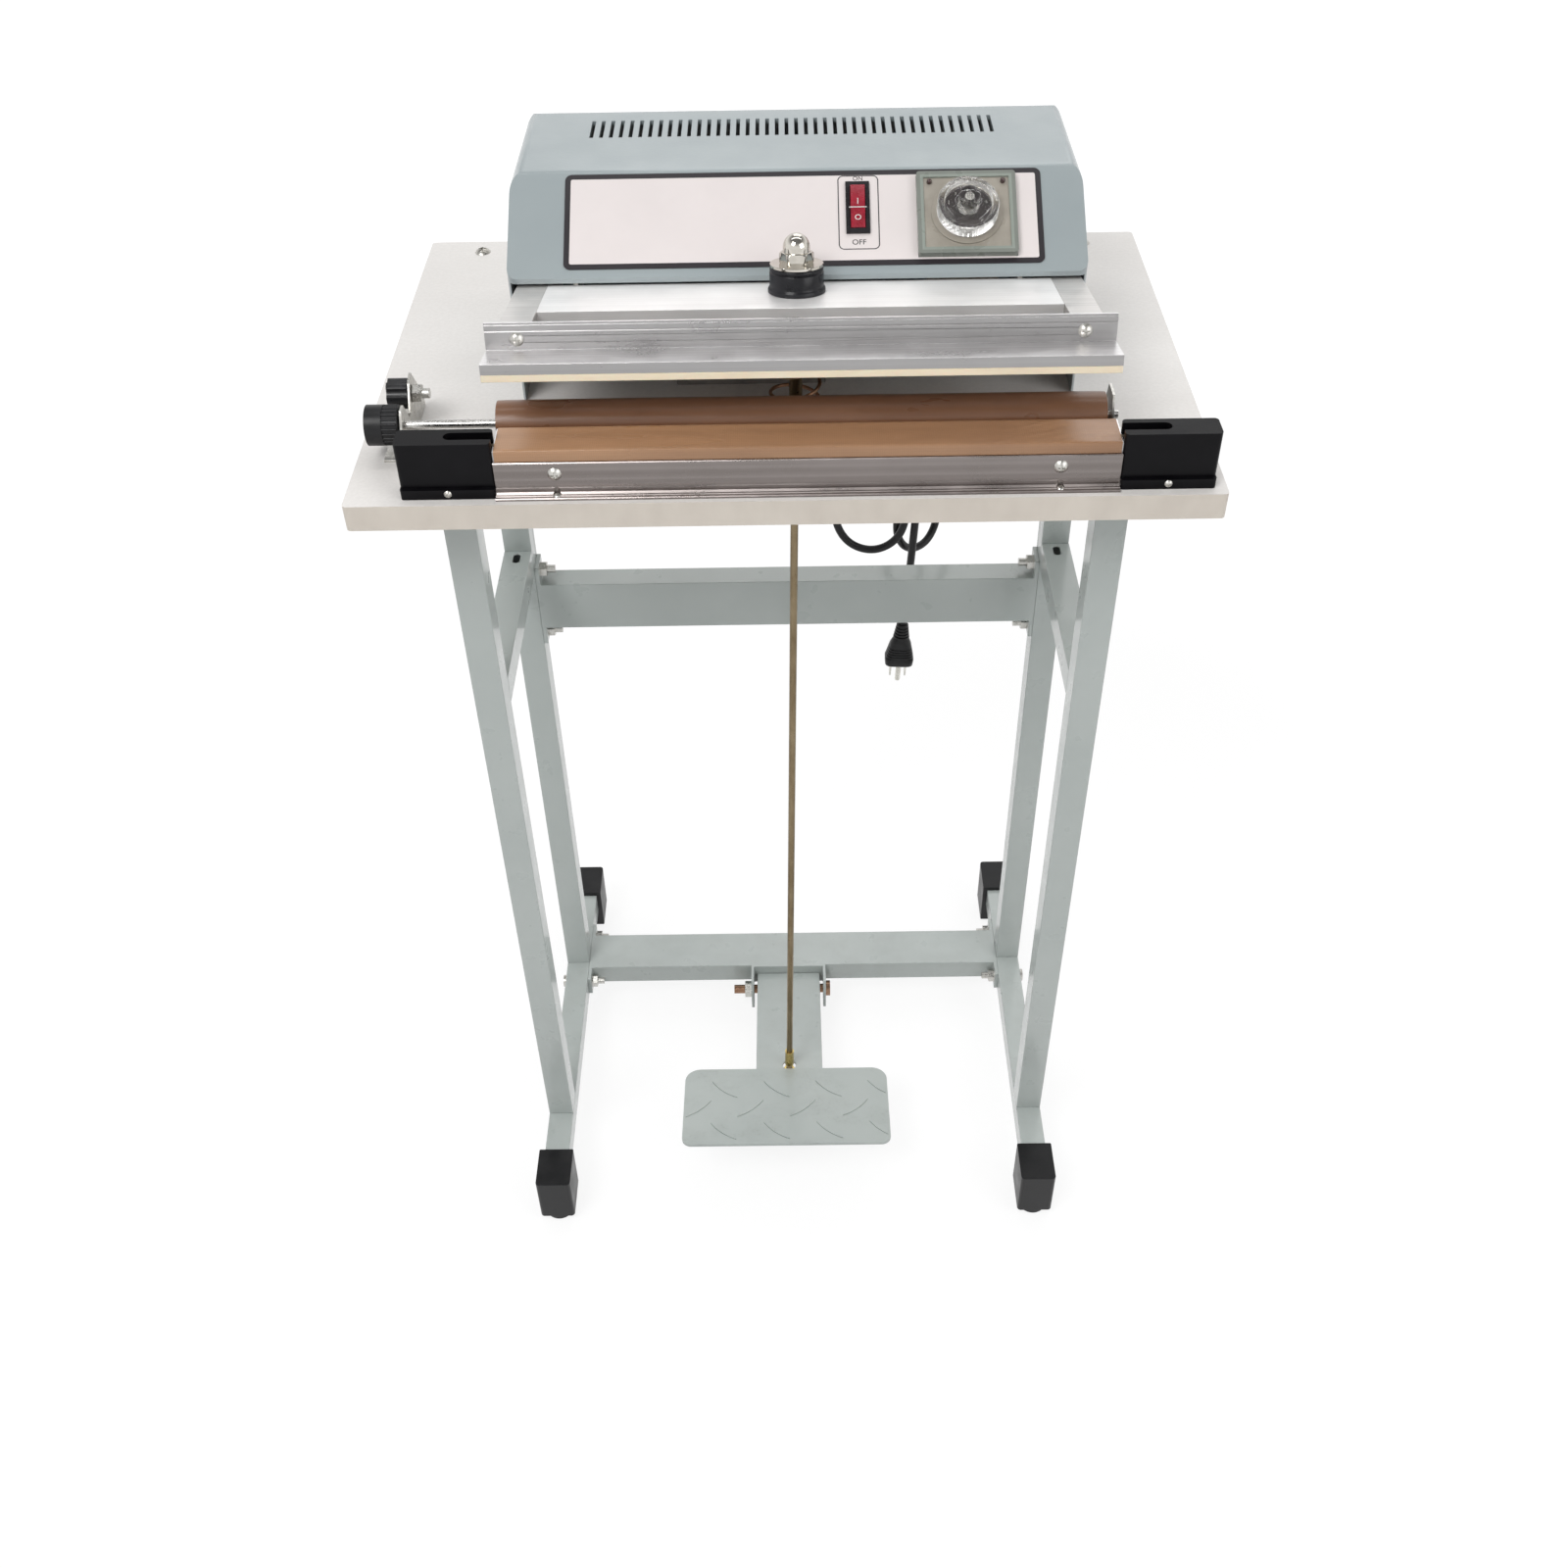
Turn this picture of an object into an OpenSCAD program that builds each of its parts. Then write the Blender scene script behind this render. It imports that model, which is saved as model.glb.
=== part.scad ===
// Foot-pedal impulse heat sealer on a tubular stand.
// Working coordinates: x to the right, y back from the front edge of the
// table, z up from the table top. place() moves them to the part's own frame,
// whose origin is on the floor under the middle of the machine.

/* [Table] */
// Width of the table board
table_w = 500; // [480:5:640]
// Depth of the table board
table_d = 344; // [344:2:420]
// Thickness of the table board
table_t = 16; // [12:1:25]
// Height of the table top above the floor
table_h = 686; // [560:1:820]
// Diameter of the hole that the pull rod passes through
rod_hole_d = 26; // [24:1:30]

/* [Stand] */
// Side of the square tube
tube = 20; // [16:1:25]
// Wall of the tube
tube_wall = 1.5; // [1:0.1:2]
// Width of the stand across its legs
stand_w = 415; // [380:1:440]
// Front face of the front legs
front_leg_y = 52; // [40:1:70]
// Front face of the rear legs
rear_leg_y = 221; // [200:1:236]
// How far the feet reach ahead of the table
foot_reach = 22; // [10:1:40]
// Length of a foot over its end caps
foot_len = 363; // [340:1:364]
// Height of the foot rails above the floor
rail_lift = 28; // [24:1:34]
// Drop from the table top to the side rails
side_rail_drop = 182; // [120:1:260]
// Drop from the table top to the upper cross beam
upper_beam_drop = 213; // [212:1:320]
// Long side of a cross beam's section
beam_deep = 40; // [30:1:46]

/* [Foot caps] */
// Wall of a cap round the tube
cap_wall = 4; // [2.5:0.5:5]
// Length of a cap
cap_len = 35; // [26:1:50]
// Diameter of the round pad under a cap
pad_d = 23; // [16:1:26]
// Height of the pad
pad_h = 8; // [4:1:12]

/* [Press frame] */
// Middle of the press frame, right of the table's middle
seal_x = 10; // [9.5:0.1:10.5]
// Hinge axis behind the table's front edge
hinge_y = 228; // [222:1:236]
// Hinge axis above the table top
hinge_z = 45; // [44:0.5:46]
// How far the press frame stands open
open_angle = 10.7; // [6:0.1:10.8]
// Diameter of the hinge shaft
hinge_d = 10; // [8:0.5:12]
// Width of an arm
arm_w = 18; // [16:0.5:19]
// Height of an arm and of the cross channel
arm_h = 18; // [17.5:0.5:18.5]
// Spacing of the two arms between their middles
arm_spacing = 311; // [300:1:312]
// Wall of the arms and the cross channel
arm_wall = 1.8; // [1.2:0.1:2.5]
// Front edge of the cross channel when closed
channel_y = 57; // [55:1:60]
// Depth of the cross channel
channel_d = 54; // [48:1:55]

/* [Jaws] */
// Length of the upper jaw
jaw_len = 346; // [300:1:348]
// Front of the sealing faces behind the table's front edge
seal_y = 11.3; // [11:0.1:12]
// Depth of the sealing faces
seal_d = 25; // [20:0.5:28]
// Height of the lower jaw over its release cloth
bar_h = 28.5; // [26:0.5:29]
// Length of the lower jaw between its end blocks
bar_len = 352; // [350:1:353]
// Gap between the closed jaws
seal_gap = 0.5; // [0.3:0.1:1]
// Depth of silicone below the upper jaw
silicone_h = 4; // [3:0.1:6]
// Height of the upper jaw's front lip
lip_h = 6; // [5:0.1:8]
// Sheet thickness of the upper jaw's section
jaw_t = 2.5; // [2:0.1:3]
// Width of the heating strip
heater_w = 2.5; // [1:0.5:5]

/* [End blocks] */
// Length of an end block
block_len = 54; // [44:1:56]
// Depth of an end block
block_d = 17; // [15:1:20]
// Height of an end block
block_h = 33.5; // [30:0.5:34]
// Width of the slot in the top of an end block
block_slot = 7.5; // [5:0.5:9]

/* [Release cloth roll] */
// Roll axis behind the table's front edge
roll_y = 56; // [55:0.5:60]
// Roll axis above the table top
roll_z = 19.5; // [18:0.5:24]
// Diameter of the roll
roll_d = 26.8; // [18:0.2:28]
// Length of the roll
roll_len = 350; // [300:1:352]
// Diameter of the spindle
spindle_d = 5; // [4:0.5:6]
// Diameter of the spindle's knob
knob_d = 23.5; // [18:0.5:26]

/* [Control housing] */
// Width of the housing
housing_w = 338; // [338:1:360]
// Middle of the housing, right of the table's middle
housing_x = 9; // [8.5:0.5:9.5]
// Front of the housing behind the table's front edge
housing_y = 114; // [114:1:118]
// Back of the housing
housing_back = 273; // [266:1:280]
// Height of the housing
housing_h = 119; // [110:1:140]
// Bottom edge of the front lip
housing_lip_z = 77; // [76.8:0.1:82]
// Height of the front lip
housing_lip = 3; // [2:0.5:5]
// Where the sloping panel meets the top
housing_break = 173.6; // [165:0.1:185]
// Radius of the fold between the panel and the top
panel_fold = 6; // [3:0.5:8]
// Radius of the fold between the top and the back
back_fold = 9; // [4:0.5:12]
// Wall of the housing
housing_t = 2; // [1.5:0.1:2]
// Number of cooling slots
vent_count = 42; // [20:1:44]
// Spacing of the cooling slots
vent_pitch = 6; // [5:0.1:6]

/* [Controls] */
// Width of the label plate
label_w = 280; // [260:1:300]
// Side of the timer's frame
timer_w = 58; // [50:1:60]
// Diameter of the timer's knob
timer_knob_d = 36; // [28:1:38]
// Width of the switch
switch_w = 14; // [12:0.5:16]
// Length of the switch
switch_len = 34; // [28:0.5:36]

/* [Pedal] */
// Middle of the pedal, right of the table's middle
pedal_x = -4; // [-6:1:0]
// Pivot behind the table's front edge
pedal_y = 203; // [202:1:204]
// Pivot height above the floor
pedal_pivot_h = 29; // [28:1:32]
// How far the pedal tilts up at rest
pedal_tilt = 6; // [4:0.5:8]
// Width of the pedal arm
pedal_arm_w = 57; // [40:1:64]
// Width of the foot plate
plate_w = 172; // [140:1:190]
// Depth of the foot plate
plate_d = 84; // [70:1:86]
// Diameter of the pivot bolt
pivot_d = 8; // [6:0.5:8]
// Play on each side of the pedal arm in its bracket
pedal_play = 3; // [1:0.5:4]

/* [Pull rod] */
// Pull shaft's top, right of the table's middle
pull_x = 8.5; // [6:0.5:12]
// Diameter of the pull rod
rod_d = 5; // [4:0.5:6]
// Diameter of the shaft through the table
shaft_d = 8; // [7:0.5:8]
// Middle of the rubber bush behind the table's front edge when closed
bush_y = 91; // [88:1:92]
// Diameter of the rubber bush
bush_d = 33; // [30:1:36]
// Height of the rubber bush
bush_h = 14.5; // [12:0.5:18]

/* [Spring] */
// Wire of the return spring
spring_wire = 2.2; // [1.6:0.1:3]
// Mean diameter of the spring on the table
spring_d_low = 32; // [30:1:36]
// Mean diameter of the spring under the channel
spring_d_top = 25; // [24:1:30]
// Turns of the spring
spring_turns = 5; // [4:0.5:7]

/* [Power cord] */
// Diameter of the mains cord
cord_d = 6.5; // [5.5:0.5:8]

/* [Hidden] */
$fn = 64;
eps = 0.01;
play = 0.5;         // clearance of a part that only has to pass
run_fit = 0.06;     // radial clearance of a turning fit
y_mid = (table_d - foot_reach) / 2;
floor_z = -table_h;
rail_z = floor_z + rail_lift;
rail_top = rail_z + tube;
leg_x = stand_w / 2 - tube / 2;
inner_x = stand_w / 2 - tube;
top_bar_t = 3;
top_bar_w = 34;
leg_top = -table_t - top_bar_t;
end_plate_t = 3;
bolt_d = 6;
bolt_head_d = 11;
foot_back = foot_len - foot_reach;
table_screw_x = table_w / 2 - 38;
table_screw_y = [17, table_d - 17];

// Press frame, in its own frame with the hinge axis at the origin, closed.
web_front = seal_y + seal_d;
web_back = web_front + jaw_t;
silicone_z = bar_h + seal_gap;
lip_bottom = silicone_z + silicone_h;
ledge_top = lip_bottom + lip_h;
arm_top = hinge_z + arm_h / 2;
seat_y = bush_y - hinge_y;
pivot_z = arm_h / 2 + bush_h - shaft_d / 2 - play;
washer_t = 1.5;
washer_d = 30.5;
hex_af = 17.3;
hex_h = 6.5;
dome_d = 15.5;
dome_h = 10;

// The pull rod, hung from the press frame at rest.
pull_y = hinge_y + seat_y * cos(open_angle) + pivot_z * sin(open_angle);
pull_z = hinge_z - seat_y * sin(open_angle) + pivot_z * cos(open_angle);
pivot_floor_z = floor_z + pedal_pivot_h;
arm_plate_z = 12;
sheet = 2;
tail_z = pivot_floor_z + (pedal_y - pull_y) * tan(pedal_tilt) + arm_plate_z / cos(pedal_tilt);
rod_lean = atan((pull_x - pedal_x) / (pull_z - tail_z));
rod_drop = (pull_z - tail_z) / cos(rod_lean);
tail_r = ((pedal_y - pull_y) + arm_plate_z * sin(pedal_tilt)) / cos(pedal_tilt);
tail_hole_d = 11;
rod_tail = 12;
shaft_len = 140;
sleeve_d = 7.5;
sleeve_len = 17;
nut_af = 8;
nut_h = 4;

// Control housing
panel_rise = housing_h - housing_lip_z - housing_lip;
panel_run = housing_break - housing_y;
panel_angle = atan(panel_rise / panel_run);
panel_len = sqrt(panel_rise * panel_rise + panel_run * panel_run);
panel_z = housing_lip_z + housing_lip;
label_t = 0.6;
label_x = 13;
label_s = [5.5, panel_len - 3];
switch_x = 45;
switch_s = 43;
timer_x = 108.5;
timer_s = 37;
timer_h = 5;
switch_h = 2;

// Lower jaw and roll
bar_x = 13;
strip_t = 2;
strip_h = 21;
strip_foot = 5.8;
screw_x = 142;
cloth_t = 0.7;
heater_t = 0.3;
heater_y = seal_y + 7;
block_out = block_len + bar_len / 2;
left_plate_x = -219.5;
right_plate_x = 188;
roll_x = 10;
plate_t = 1.5;
clamp_y = roll_y + 31;

// Route of the mains cord behind the table, from its gland to its plug.
gland_x = 95;
gland_z = 22;
gland_len = 30;
CORD = [
    [95, 297, 22], [95, 320.5, 24], [95.5, 332.5, 24], [96.5, 343, 21], [98.5, 352.5, 15.5],
    [100.5, 359.5, 7], [102.5, 364.5, -2.5], [104.5, 367.5, -13.5], [106.5, 369, -27.5],
    [109, 369, -49.5], [111.5, 368, -77], [112.5, 367.5, -104.5], [113, 367, -132],
    [113, 367.5, -159.5], [112.5, 369, -182], [113, 371.5, -199], [115, 375, -213.5],
    [118.5, 380, -229], [123.5, 385, -245], [126.5, 387, -256], [127, 386, -267], [124, 382.5, -277],
    [118.5, 376.5, -284], [110, 369.5, -286], [101.5, 363.5, -282.5], [95.5, 359.5, -274.5],
    [91.5, 357.5, -264], [91, 358, -253], [92.5, 359, -234.5], [94, 360.5, -212], [93.5, 361, -191.5],
    [91.5, 361.5, -173], [89, 361.5, -160], [84.5, 361, -150], [77.5, 360, -141], [68.5, 358, -135.5],
    [57.5, 356, -134.5], [47, 354, -138], [39, 352.5, -145.5], [34.5, 352, -155.5],
    [32.5, 351.5, -166.5], [33, 352, -181], [35, 353, -206], [38, 353.5, -232.5], [40.5, 353, -247],
    [44, 352.5, -257.5], [50.5, 352, -267], [59.5, 351, -272.5], [70.5, 350, -274.5],
    [81, 349.5, -271.5], [89.5, 349, -264.5], [95, 349, -255], [97.5, 349, -244], [98, 349, -229.5],
    [97, 349, -208.5], [94.5, 349, -190.5], [89.5, 349, -171], [83.5, 349, -151], [82, 349, -139.5],
    [83.5, 349, -129], [88, 349, -119], [97, 349, -112], [107.5, 349, -109.5], [118.5, 349, -112],
    [127, 349, -119], [131.5, 349.5, -129], [132.5, 349.5, -140], [130.5, 349.5, -150.5],
    [124.5, 350, -166.5], [115, 350.5, -188], [110.5, 351.5, -203], [108, 352, -218.5],
    [106, 352.5, -242.5], [104.5, 351.5, -270], [103, 351.5, -297.5], [101, 352, -324.5],
    [99, 352, -352]
];
plug_lean = 3;

// ---- placing ----
module place() {
    translate([0, -y_mid, table_h])
        children();
}

// On the press frame, which turns about the hinge shaft and stands open.
module on_press() {
    place()
        translate([0, hinge_y, hinge_z])
            rotate([-open_angle, 0, 0])
                translate([0, -hinge_y, -hinge_z])
                    children();
}

// On the pedal, with its pivot at the origin.
module on_pedal() {
    place()
        translate([pedal_x, pedal_y, pivot_floor_z])
            rotate([-pedal_tilt, 0, 0])
                children();
}

// On the pull rod, with its top pivot at the origin and the rod straight down.
module on_rod() {
    place()
        translate([pull_x, pull_y, pull_z])
            rotate([0, rod_lean, 0])
                children();
}

// On the sloping panel: x across, y up the slope, z out of it.
module on_panel() {
    place()
        translate([0, housing_y, panel_z])
            rotate([panel_angle, 0, 0])
                children();
}

// ---- shapes ----
module box(x0, x1, y0, y1, z0, z1) {
    translate([x0, y0, z0])
        cube([x1 - x0, y1 - y0, z1 - z0]);
}

// A rectangle with corner radii, front pair first.
module round_rect(w, d, r_front, r_back) {
    difference() {
        translate([-w / 2, 0])
            square([w, d]);
        for (side = [-1, 1]) {
            translate([side * (w / 2 - r_front), r_front])
                corner_waste(side, -1, r_front);
            translate([side * (w / 2 - r_back), d - r_back])
                corner_waste(side, 1, r_back);
        }
    }
}

// What lies outside a quarter circle of radius r, toward (sx, sy).
module corner_waste(sx, sy, r) {
    difference() {
        translate([sx > 0 ? 0 : -r - 1, sy > 0 ? 0 : -r - 1])
            square(r + 1);
        circle(r = r);
    }
}

// Square or flat tube along z, open at both ends.
module tube_z(w, d, length, wall) {
    difference() {
        translate([-w / 2, -d / 2, 0])
            cube([w, d, length]);
        translate([-w / 2 + wall, -d / 2 + wall, -1])
            cube([w - 2 * wall, d - 2 * wall, length + 2]);
    }
}

module rod_x(d, x0, x1) {
    translate([x0, 0, 0])
        rotate([0, 90, 0])
            cylinder(d = d, h = x1 - x0);
}

module hex(af, h) {
    cylinder(d = af / cos(30), h = h, $fn = 6);
}

// A pan-head screw with a cross recess, head up, its seat at z = 0.
module pan_screw(head, shank, length) {
    difference() {
        union() {
            intersection() {
                translate([0, 0, -head * 0.32])
                    sphere(d = head * 1.2);
                cylinder(d = head, h = head * 0.3);
            }
            translate([0, 0, -length])
                cylinder(d = shank, h = length + eps);
        }
        for (turn = [0, 90])
            rotate([0, 0, turn])
                translate([-head * 0.26, -head * 0.06, head * 0.12])
                    cube([head * 0.52, head * 0.12, head]);
    }
}

// ---- table and stand ----
module table_top() {
    color("whitesmoke")
        place()
            difference() {
                translate([0, 0, -table_t])
                    linear_extrude(table_t)
                        round_rect(table_w, table_d, 3, 3);
                translate([pull_x - 1.6, pull_y - 3, -table_t - 1])
                    cylinder(d = rod_hole_d, h = table_t + 2);
                for (side = [-1, 1])
                    translate([side * table_screw_x, table_screw_y[1], -table_t - 1])
                        cylinder(d = bolt_d, h = table_t + 2);
            }
}

module leg(side, front_y) {
    color("lightslategray")
        place()
            difference() {
                translate([side * leg_x, front_y + tube / 2, rail_top])
                    tube_z(tube, tube, leg_top - rail_top, tube_wall);
                if (front_y == rear_leg_y)
                    upper_bolt_holes(side);
            }
}

module left_front_leg() {
    leg(-1, front_leg_y);
}

module right_front_leg() {
    leg(1, front_leg_y);
}

module left_rear_leg() {
    leg(-1, rear_leg_y);
}

module right_rear_leg() {
    leg(1, rear_leg_y);
}

module foot_rail(side) {
    color("lightslategray")
        place()
            difference() {
                translate([side * leg_x, cap_wall - foot_reach, rail_z + tube / 2])
                    rotate([-90, 0, 0])
                        tube_z(tube, tube, foot_len - 2 * cap_wall, tube_wall);
                lower_bolt_holes(side);
            }
}

module left_foot_rail() {
    foot_rail(-1);
}

module right_foot_rail() {
    foot_rail(1);
}

module side_rails() {
    color("lightslategray")
        place()
            for (side = [-1, 1])
                difference() {
                    translate([side * leg_x, front_leg_y + tube, -side_rail_drop - tube / 2])
                        rotate([-90, 0, 0])
                            tube_z(tube, tube, rear_leg_y - front_leg_y - tube, tube_wall);
                    translate([side * leg_x, rear_leg_y - 9, -side_rail_drop - tube_wall - 1])
                        linear_extrude(tube_wall + 2)
                            hull() {
                                translate([0, -3])
                                    circle(d = 5);
                                translate([0, 3])
                                    circle(d = 5);
                            }
                }
}

// Flat bars under the table that the legs are welded to.
module top_bars() {
    color("lightslategray")
        place()
            for (side = [-1, 1])
                difference() {
                    translate([side * (leg_x + (top_bar_w - tube) / 2), 10, leg_top])
                        linear_extrude(top_bar_t)
                            round_rect(top_bar_w, table_d - 18, 3, 3);
                    for (y = table_screw_y)
                        translate([side * table_screw_x, y, leg_top - 1])
                            cylinder(d = bolt_d, h = top_bar_t + 2);
                }
}

function upper_bolts() = [for (s = [-1, 1]) -upper_beam_drop - beam_deep / 2 + s * (beam_deep / 2 + 8)];
function lower_bolts() = [for (s = [-1, 1]) lower_beam_mid + s * (beam_deep / 2 + 7)];
lower_beam_front = pedal_y + 12;
lower_beam_mid = lower_beam_front + beam_deep / 2;

module upper_bolt_holes(side) {
    for (z = upper_bolts())
        translate([0, rear_leg_y + tube / 2, z])
            rod_x(bolt_d + 2 * run_fit, side > 0 ? 0 : -stand_w, side > 0 ? stand_w : 0);
}

module lower_bolt_holes(side) {
    for (y = lower_bolts())
        translate([0, y, rail_z + tube / 2])
            rod_x(bolt_d + 2 * run_fit, side > 0 ? 0 : -stand_w, side > 0 ? stand_w : 0);
}

module upper_beam() {
    color("lightslategray")
        place()
            difference() {
                union() {
                    translate([-inner_x + end_plate_t, rear_leg_y + tube / 2,
                               -upper_beam_drop - beam_deep / 2])
                        rotate([0, 90, 0])
                            tube_z(beam_deep, tube, 2 * (inner_x - end_plate_t), tube_wall);
                    for (side = [-1, 1])
                        translate([side * (inner_x - end_plate_t / 2), rear_leg_y + tube / 2,
                                   -upper_beam_drop - beam_deep / 2])
                            cube([end_plate_t, tube, beam_deep + 30], center = true);
                }
                for (side = [-1, 1])
                    upper_bolt_holes(side);
            }
}

module lower_beam() {
    color("lightslategray")
        place()
            difference() {
                union() {
                    translate([-inner_x + end_plate_t, lower_beam_mid, rail_z + tube / 2])
                        rotate([0, 90, 0])
                            tube_z(tube, beam_deep, 2 * (inner_x - end_plate_t), tube_wall);
                    for (side = [-1, 1])
                        translate([side * (inner_x - end_plate_t / 2), lower_beam_mid,
                                   rail_z + tube / 2])
                            cube([end_plate_t, beam_deep + 28, tube], center = true);
                }
                for (side = [-1, 1])
                    lower_bolt_holes(side);
            }
}

// A moulded cap: a boot round the end of the foot rail, over a round pad.
module foot_cap(side, end) {
    outer = tube + 2 * cap_wall;
    color("black")
        place()
            translate([side * leg_x, end < 0 ? -foot_reach : foot_back, 0])
                rotate([0, 0, end < 0 ? 0 : 180])
                    difference() {
                        union() {
                            translate([0, 0, floor_z + pad_h])
                                linear_extrude(rail_top + cap_wall - floor_z - pad_h)
                                    round_rect(outer, cap_len, 3, 1);
                            translate([0, outer / 2, floor_z])
                                cylinder(d = pad_d, h = pad_h + 1);
                        }
                        box(-tube / 2, tube / 2, cap_wall, cap_len + 1, rail_z, rail_top);
                    }
}

module front_left_cap() {
    foot_cap(-1, -1);
}

module front_right_cap() {
    foot_cap(1, -1);
}

module rear_left_cap() {
    foot_cap(-1, 1);
}

module rear_right_cap() {
    foot_cap(1, 1);
}

// One bolt along x through a tube and an end plate, nut toward the middle.
module frame_bolt(side, y, z) {
    translate([0, y, z])
        rotate([0, 0, side > 0 ? 0 : 180]) {
            rod_x(bolt_d, inner_x - end_plate_t - 11, stand_w / 2 + eps);
            rod_x(bolt_head_d, stand_w / 2, stand_w / 2 + 3);
            translate([inner_x - end_plate_t - 5, 0, 0])
                rotate([0, 90, 0])
                    hex(10, 5);
        }
}

module frame_fasteners() {
    color("silver")
        place() {
            for (side = [-1, 1]) {
                for (z = upper_bolts())
                    frame_bolt(side, rear_leg_y + tube / 2, z);
                for (y = lower_bolts())
                    frame_bolt(side, y, rail_z + tube / 2);
                translate([side * table_screw_x, table_screw_y[1], 0])
                    pan_screw(bolt_head_d, bolt_d, table_t + top_bar_t + 6);
                translate([side * table_screw_x, table_screw_y[1], leg_top - 5])
                    hex(10, 5);
            }
        }
}

// ---- pedal ----
ear_t = 2.5;
bracket_in = pedal_arm_w / 2 + pedal_play;

// A bent strap: its web is on the beam and its ears carry the pivot bolt.
module pedal_bracket() {
    color("lightslategray")
        place()
            translate([pedal_x, 0, 0])
                difference() {
                    union() {
                        box(-bracket_in - ear_t, bracket_in + ear_t,
                            lower_beam_front - ear_t, lower_beam_front, rail_z, rail_top + 1);
                        for (side = [-1, 1])
                            translate([side * (bracket_in + ear_t / 2) - ear_t / 2, 0, 0])
                                rotate([90, 0, 90])
                                    linear_extrude(ear_t)
                                        ear_outline();
                    }
                    translate([0, pedal_y, pivot_floor_z])
                        rod_x(pivot_d, -bracket_in - 9, bracket_in + 9);
                }
}

module ear_outline() {
    polygon([
        [lower_beam_front, rail_top + 1], [pedal_y - 9, rail_top + 1],
        [pedal_y - 12, rail_top - 4], [pedal_y - 12, pivot_floor_z - 12],
        [pedal_y - 5, pivot_floor_z - 17], [pedal_y + 4, pivot_floor_z - 17],
        [lower_beam_front, rail_z]
    ]);
}

module pedal_pivot_bolt() {
    color("peru")
        place()
            translate([pedal_x, pedal_y, pivot_floor_z]) {
                rod_x(pivot_d, -bracket_in - ear_t - 16, bracket_in + ear_t + eps);
                rod_x(14, bracket_in + ear_t, bracket_in + ear_t + 4);
                translate([-bracket_in - ear_t - 6, 0, 0])
                    rotate([0, 90, 0])
                        hex(13, 6);
            }
}

arm_rear = 7.5;
plate_rear = -tail_r - 6.5;
plate_front = plate_rear - plate_d;

// An inverted channel whose sides taper toward the foot plate.
module pedal_arm() {
    color("lightslategray")
        on_pedal()
            difference() {
                rotate([90, 0, 90])
                    translate([0, 0, -pedal_arm_w / 2])
                        linear_extrude(pedal_arm_w)
                            polygon([
                                [arm_rear, arm_plate_z], [arm_rear, -8], [arm_rear - 4, -11],
                                [-20, -11], [plate_front + 8, 4], [plate_front + 4, arm_plate_z]
                            ]);
                box(-pedal_arm_w / 2 + sheet, pedal_arm_w / 2 - sheet, plate_front - 5,
                    arm_rear + 1, -20, arm_plate_z - sheet);
                rod_x(pivot_d + 2 * run_fit, -pedal_arm_w, pedal_arm_w);
                translate([0, -tail_r, 0])
                    cylinder(d = tail_hole_d, h = 2 * arm_plate_z);
            }
}

// A raised leaf of the chequer pattern.
module leaf(length, width, h) {
    r = (length * length / 4 + width * width / 4) / width;
    linear_extrude(h)
        intersection() {
            translate([0, r - width / 2])
                circle(r = r);
            translate([0, -r + width / 2])
                circle(r = r);
        }
}

// The middle row of leaves lies across the other two; leaves stop at the edge.
module pedal_plate() {
    plate_t2 = 2.5;
    leaf_pitch = 44;
    leaf_shift = -8;
    color("lightslategray")
        on_pedal()
            translate([-3, plate_front, arm_plate_z]) {
                linear_extrude(plate_t2)
                    round_rect(plate_w, plate_d, 8, 13);
                intersection() {
                    translate([-plate_w / 2 + 2, 2, 0])
                        cube([plate_w - 4, plate_d - 4, 2 * plate_t2]);
                    for (i = [0 : 4]) {
                        for (row = [14, 60])
                            translate([(i - 2) * leaf_pitch + leaf_shift, row, plate_t2 - eps])
                                rotate([0, 0, -40])
                                    leaf(28, 4.5, 0.9);
                        translate([(i - 2) * leaf_pitch + leaf_shift + 22, 38.6, plate_t2 - eps])
                            rotate([0, 0, 40])
                                leaf(28, 4.5, 0.9);
                    }
                }
            }
}

// ---- pull rod ----
// A round-ended shaft that narrows to a long thin rod.
module pull_rod() {
    color("darkkhaki")
        on_rod() {
            sphere(d = shaft_d);
            translate([0, 0, -shaft_len])
                cylinder(d = shaft_d, h = shaft_len);
            translate([0, 0, -rod_drop - rod_tail])
                cylinder(d = rod_d, h = rod_drop + rod_tail - shaft_len + eps);
        }
}

// The brass sleeve above the pedal arm and the nut that the arm pushes down.
module rod_fittings() {
    color("goldenrod")
        on_rod() {
            translate([0, 0, -rod_drop + 2.5])
                difference() {
                    cylinder(d = sleeve_d, h = sleeve_len);
                    translate([0, 0, -1])
                        cylinder(d = rod_d, h = sleeve_len + 2);
                }
            translate([0, 0, -rod_drop - sheet - 1.5 - nut_h])
                difference() {
                    hex(nut_af, nut_h);
                    translate([0, 0, -1])
                        cylinder(d = rod_d, h = nut_h + 2);
                }
        }
}

// ---- press frame ----
module arm(side) {
    color("gainsboro")
        on_press()
            translate([seal_x + side * arm_spacing / 2, 0, 0])
                difference() {
                    translate([0, web_back, hinge_z])
                        rotate([-90, 0, 0])
                            tube_z(arm_w, arm_h, hinge_y + 12 - web_back, arm_wall);
                    translate([0, hinge_y, hinge_z])
                        rod_x(hinge_d + 2 * run_fit, -arm_w, arm_w);
                }
}

module left_arm() {
    arm(-1);
}

module right_arm() {
    arm(1);
}

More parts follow.
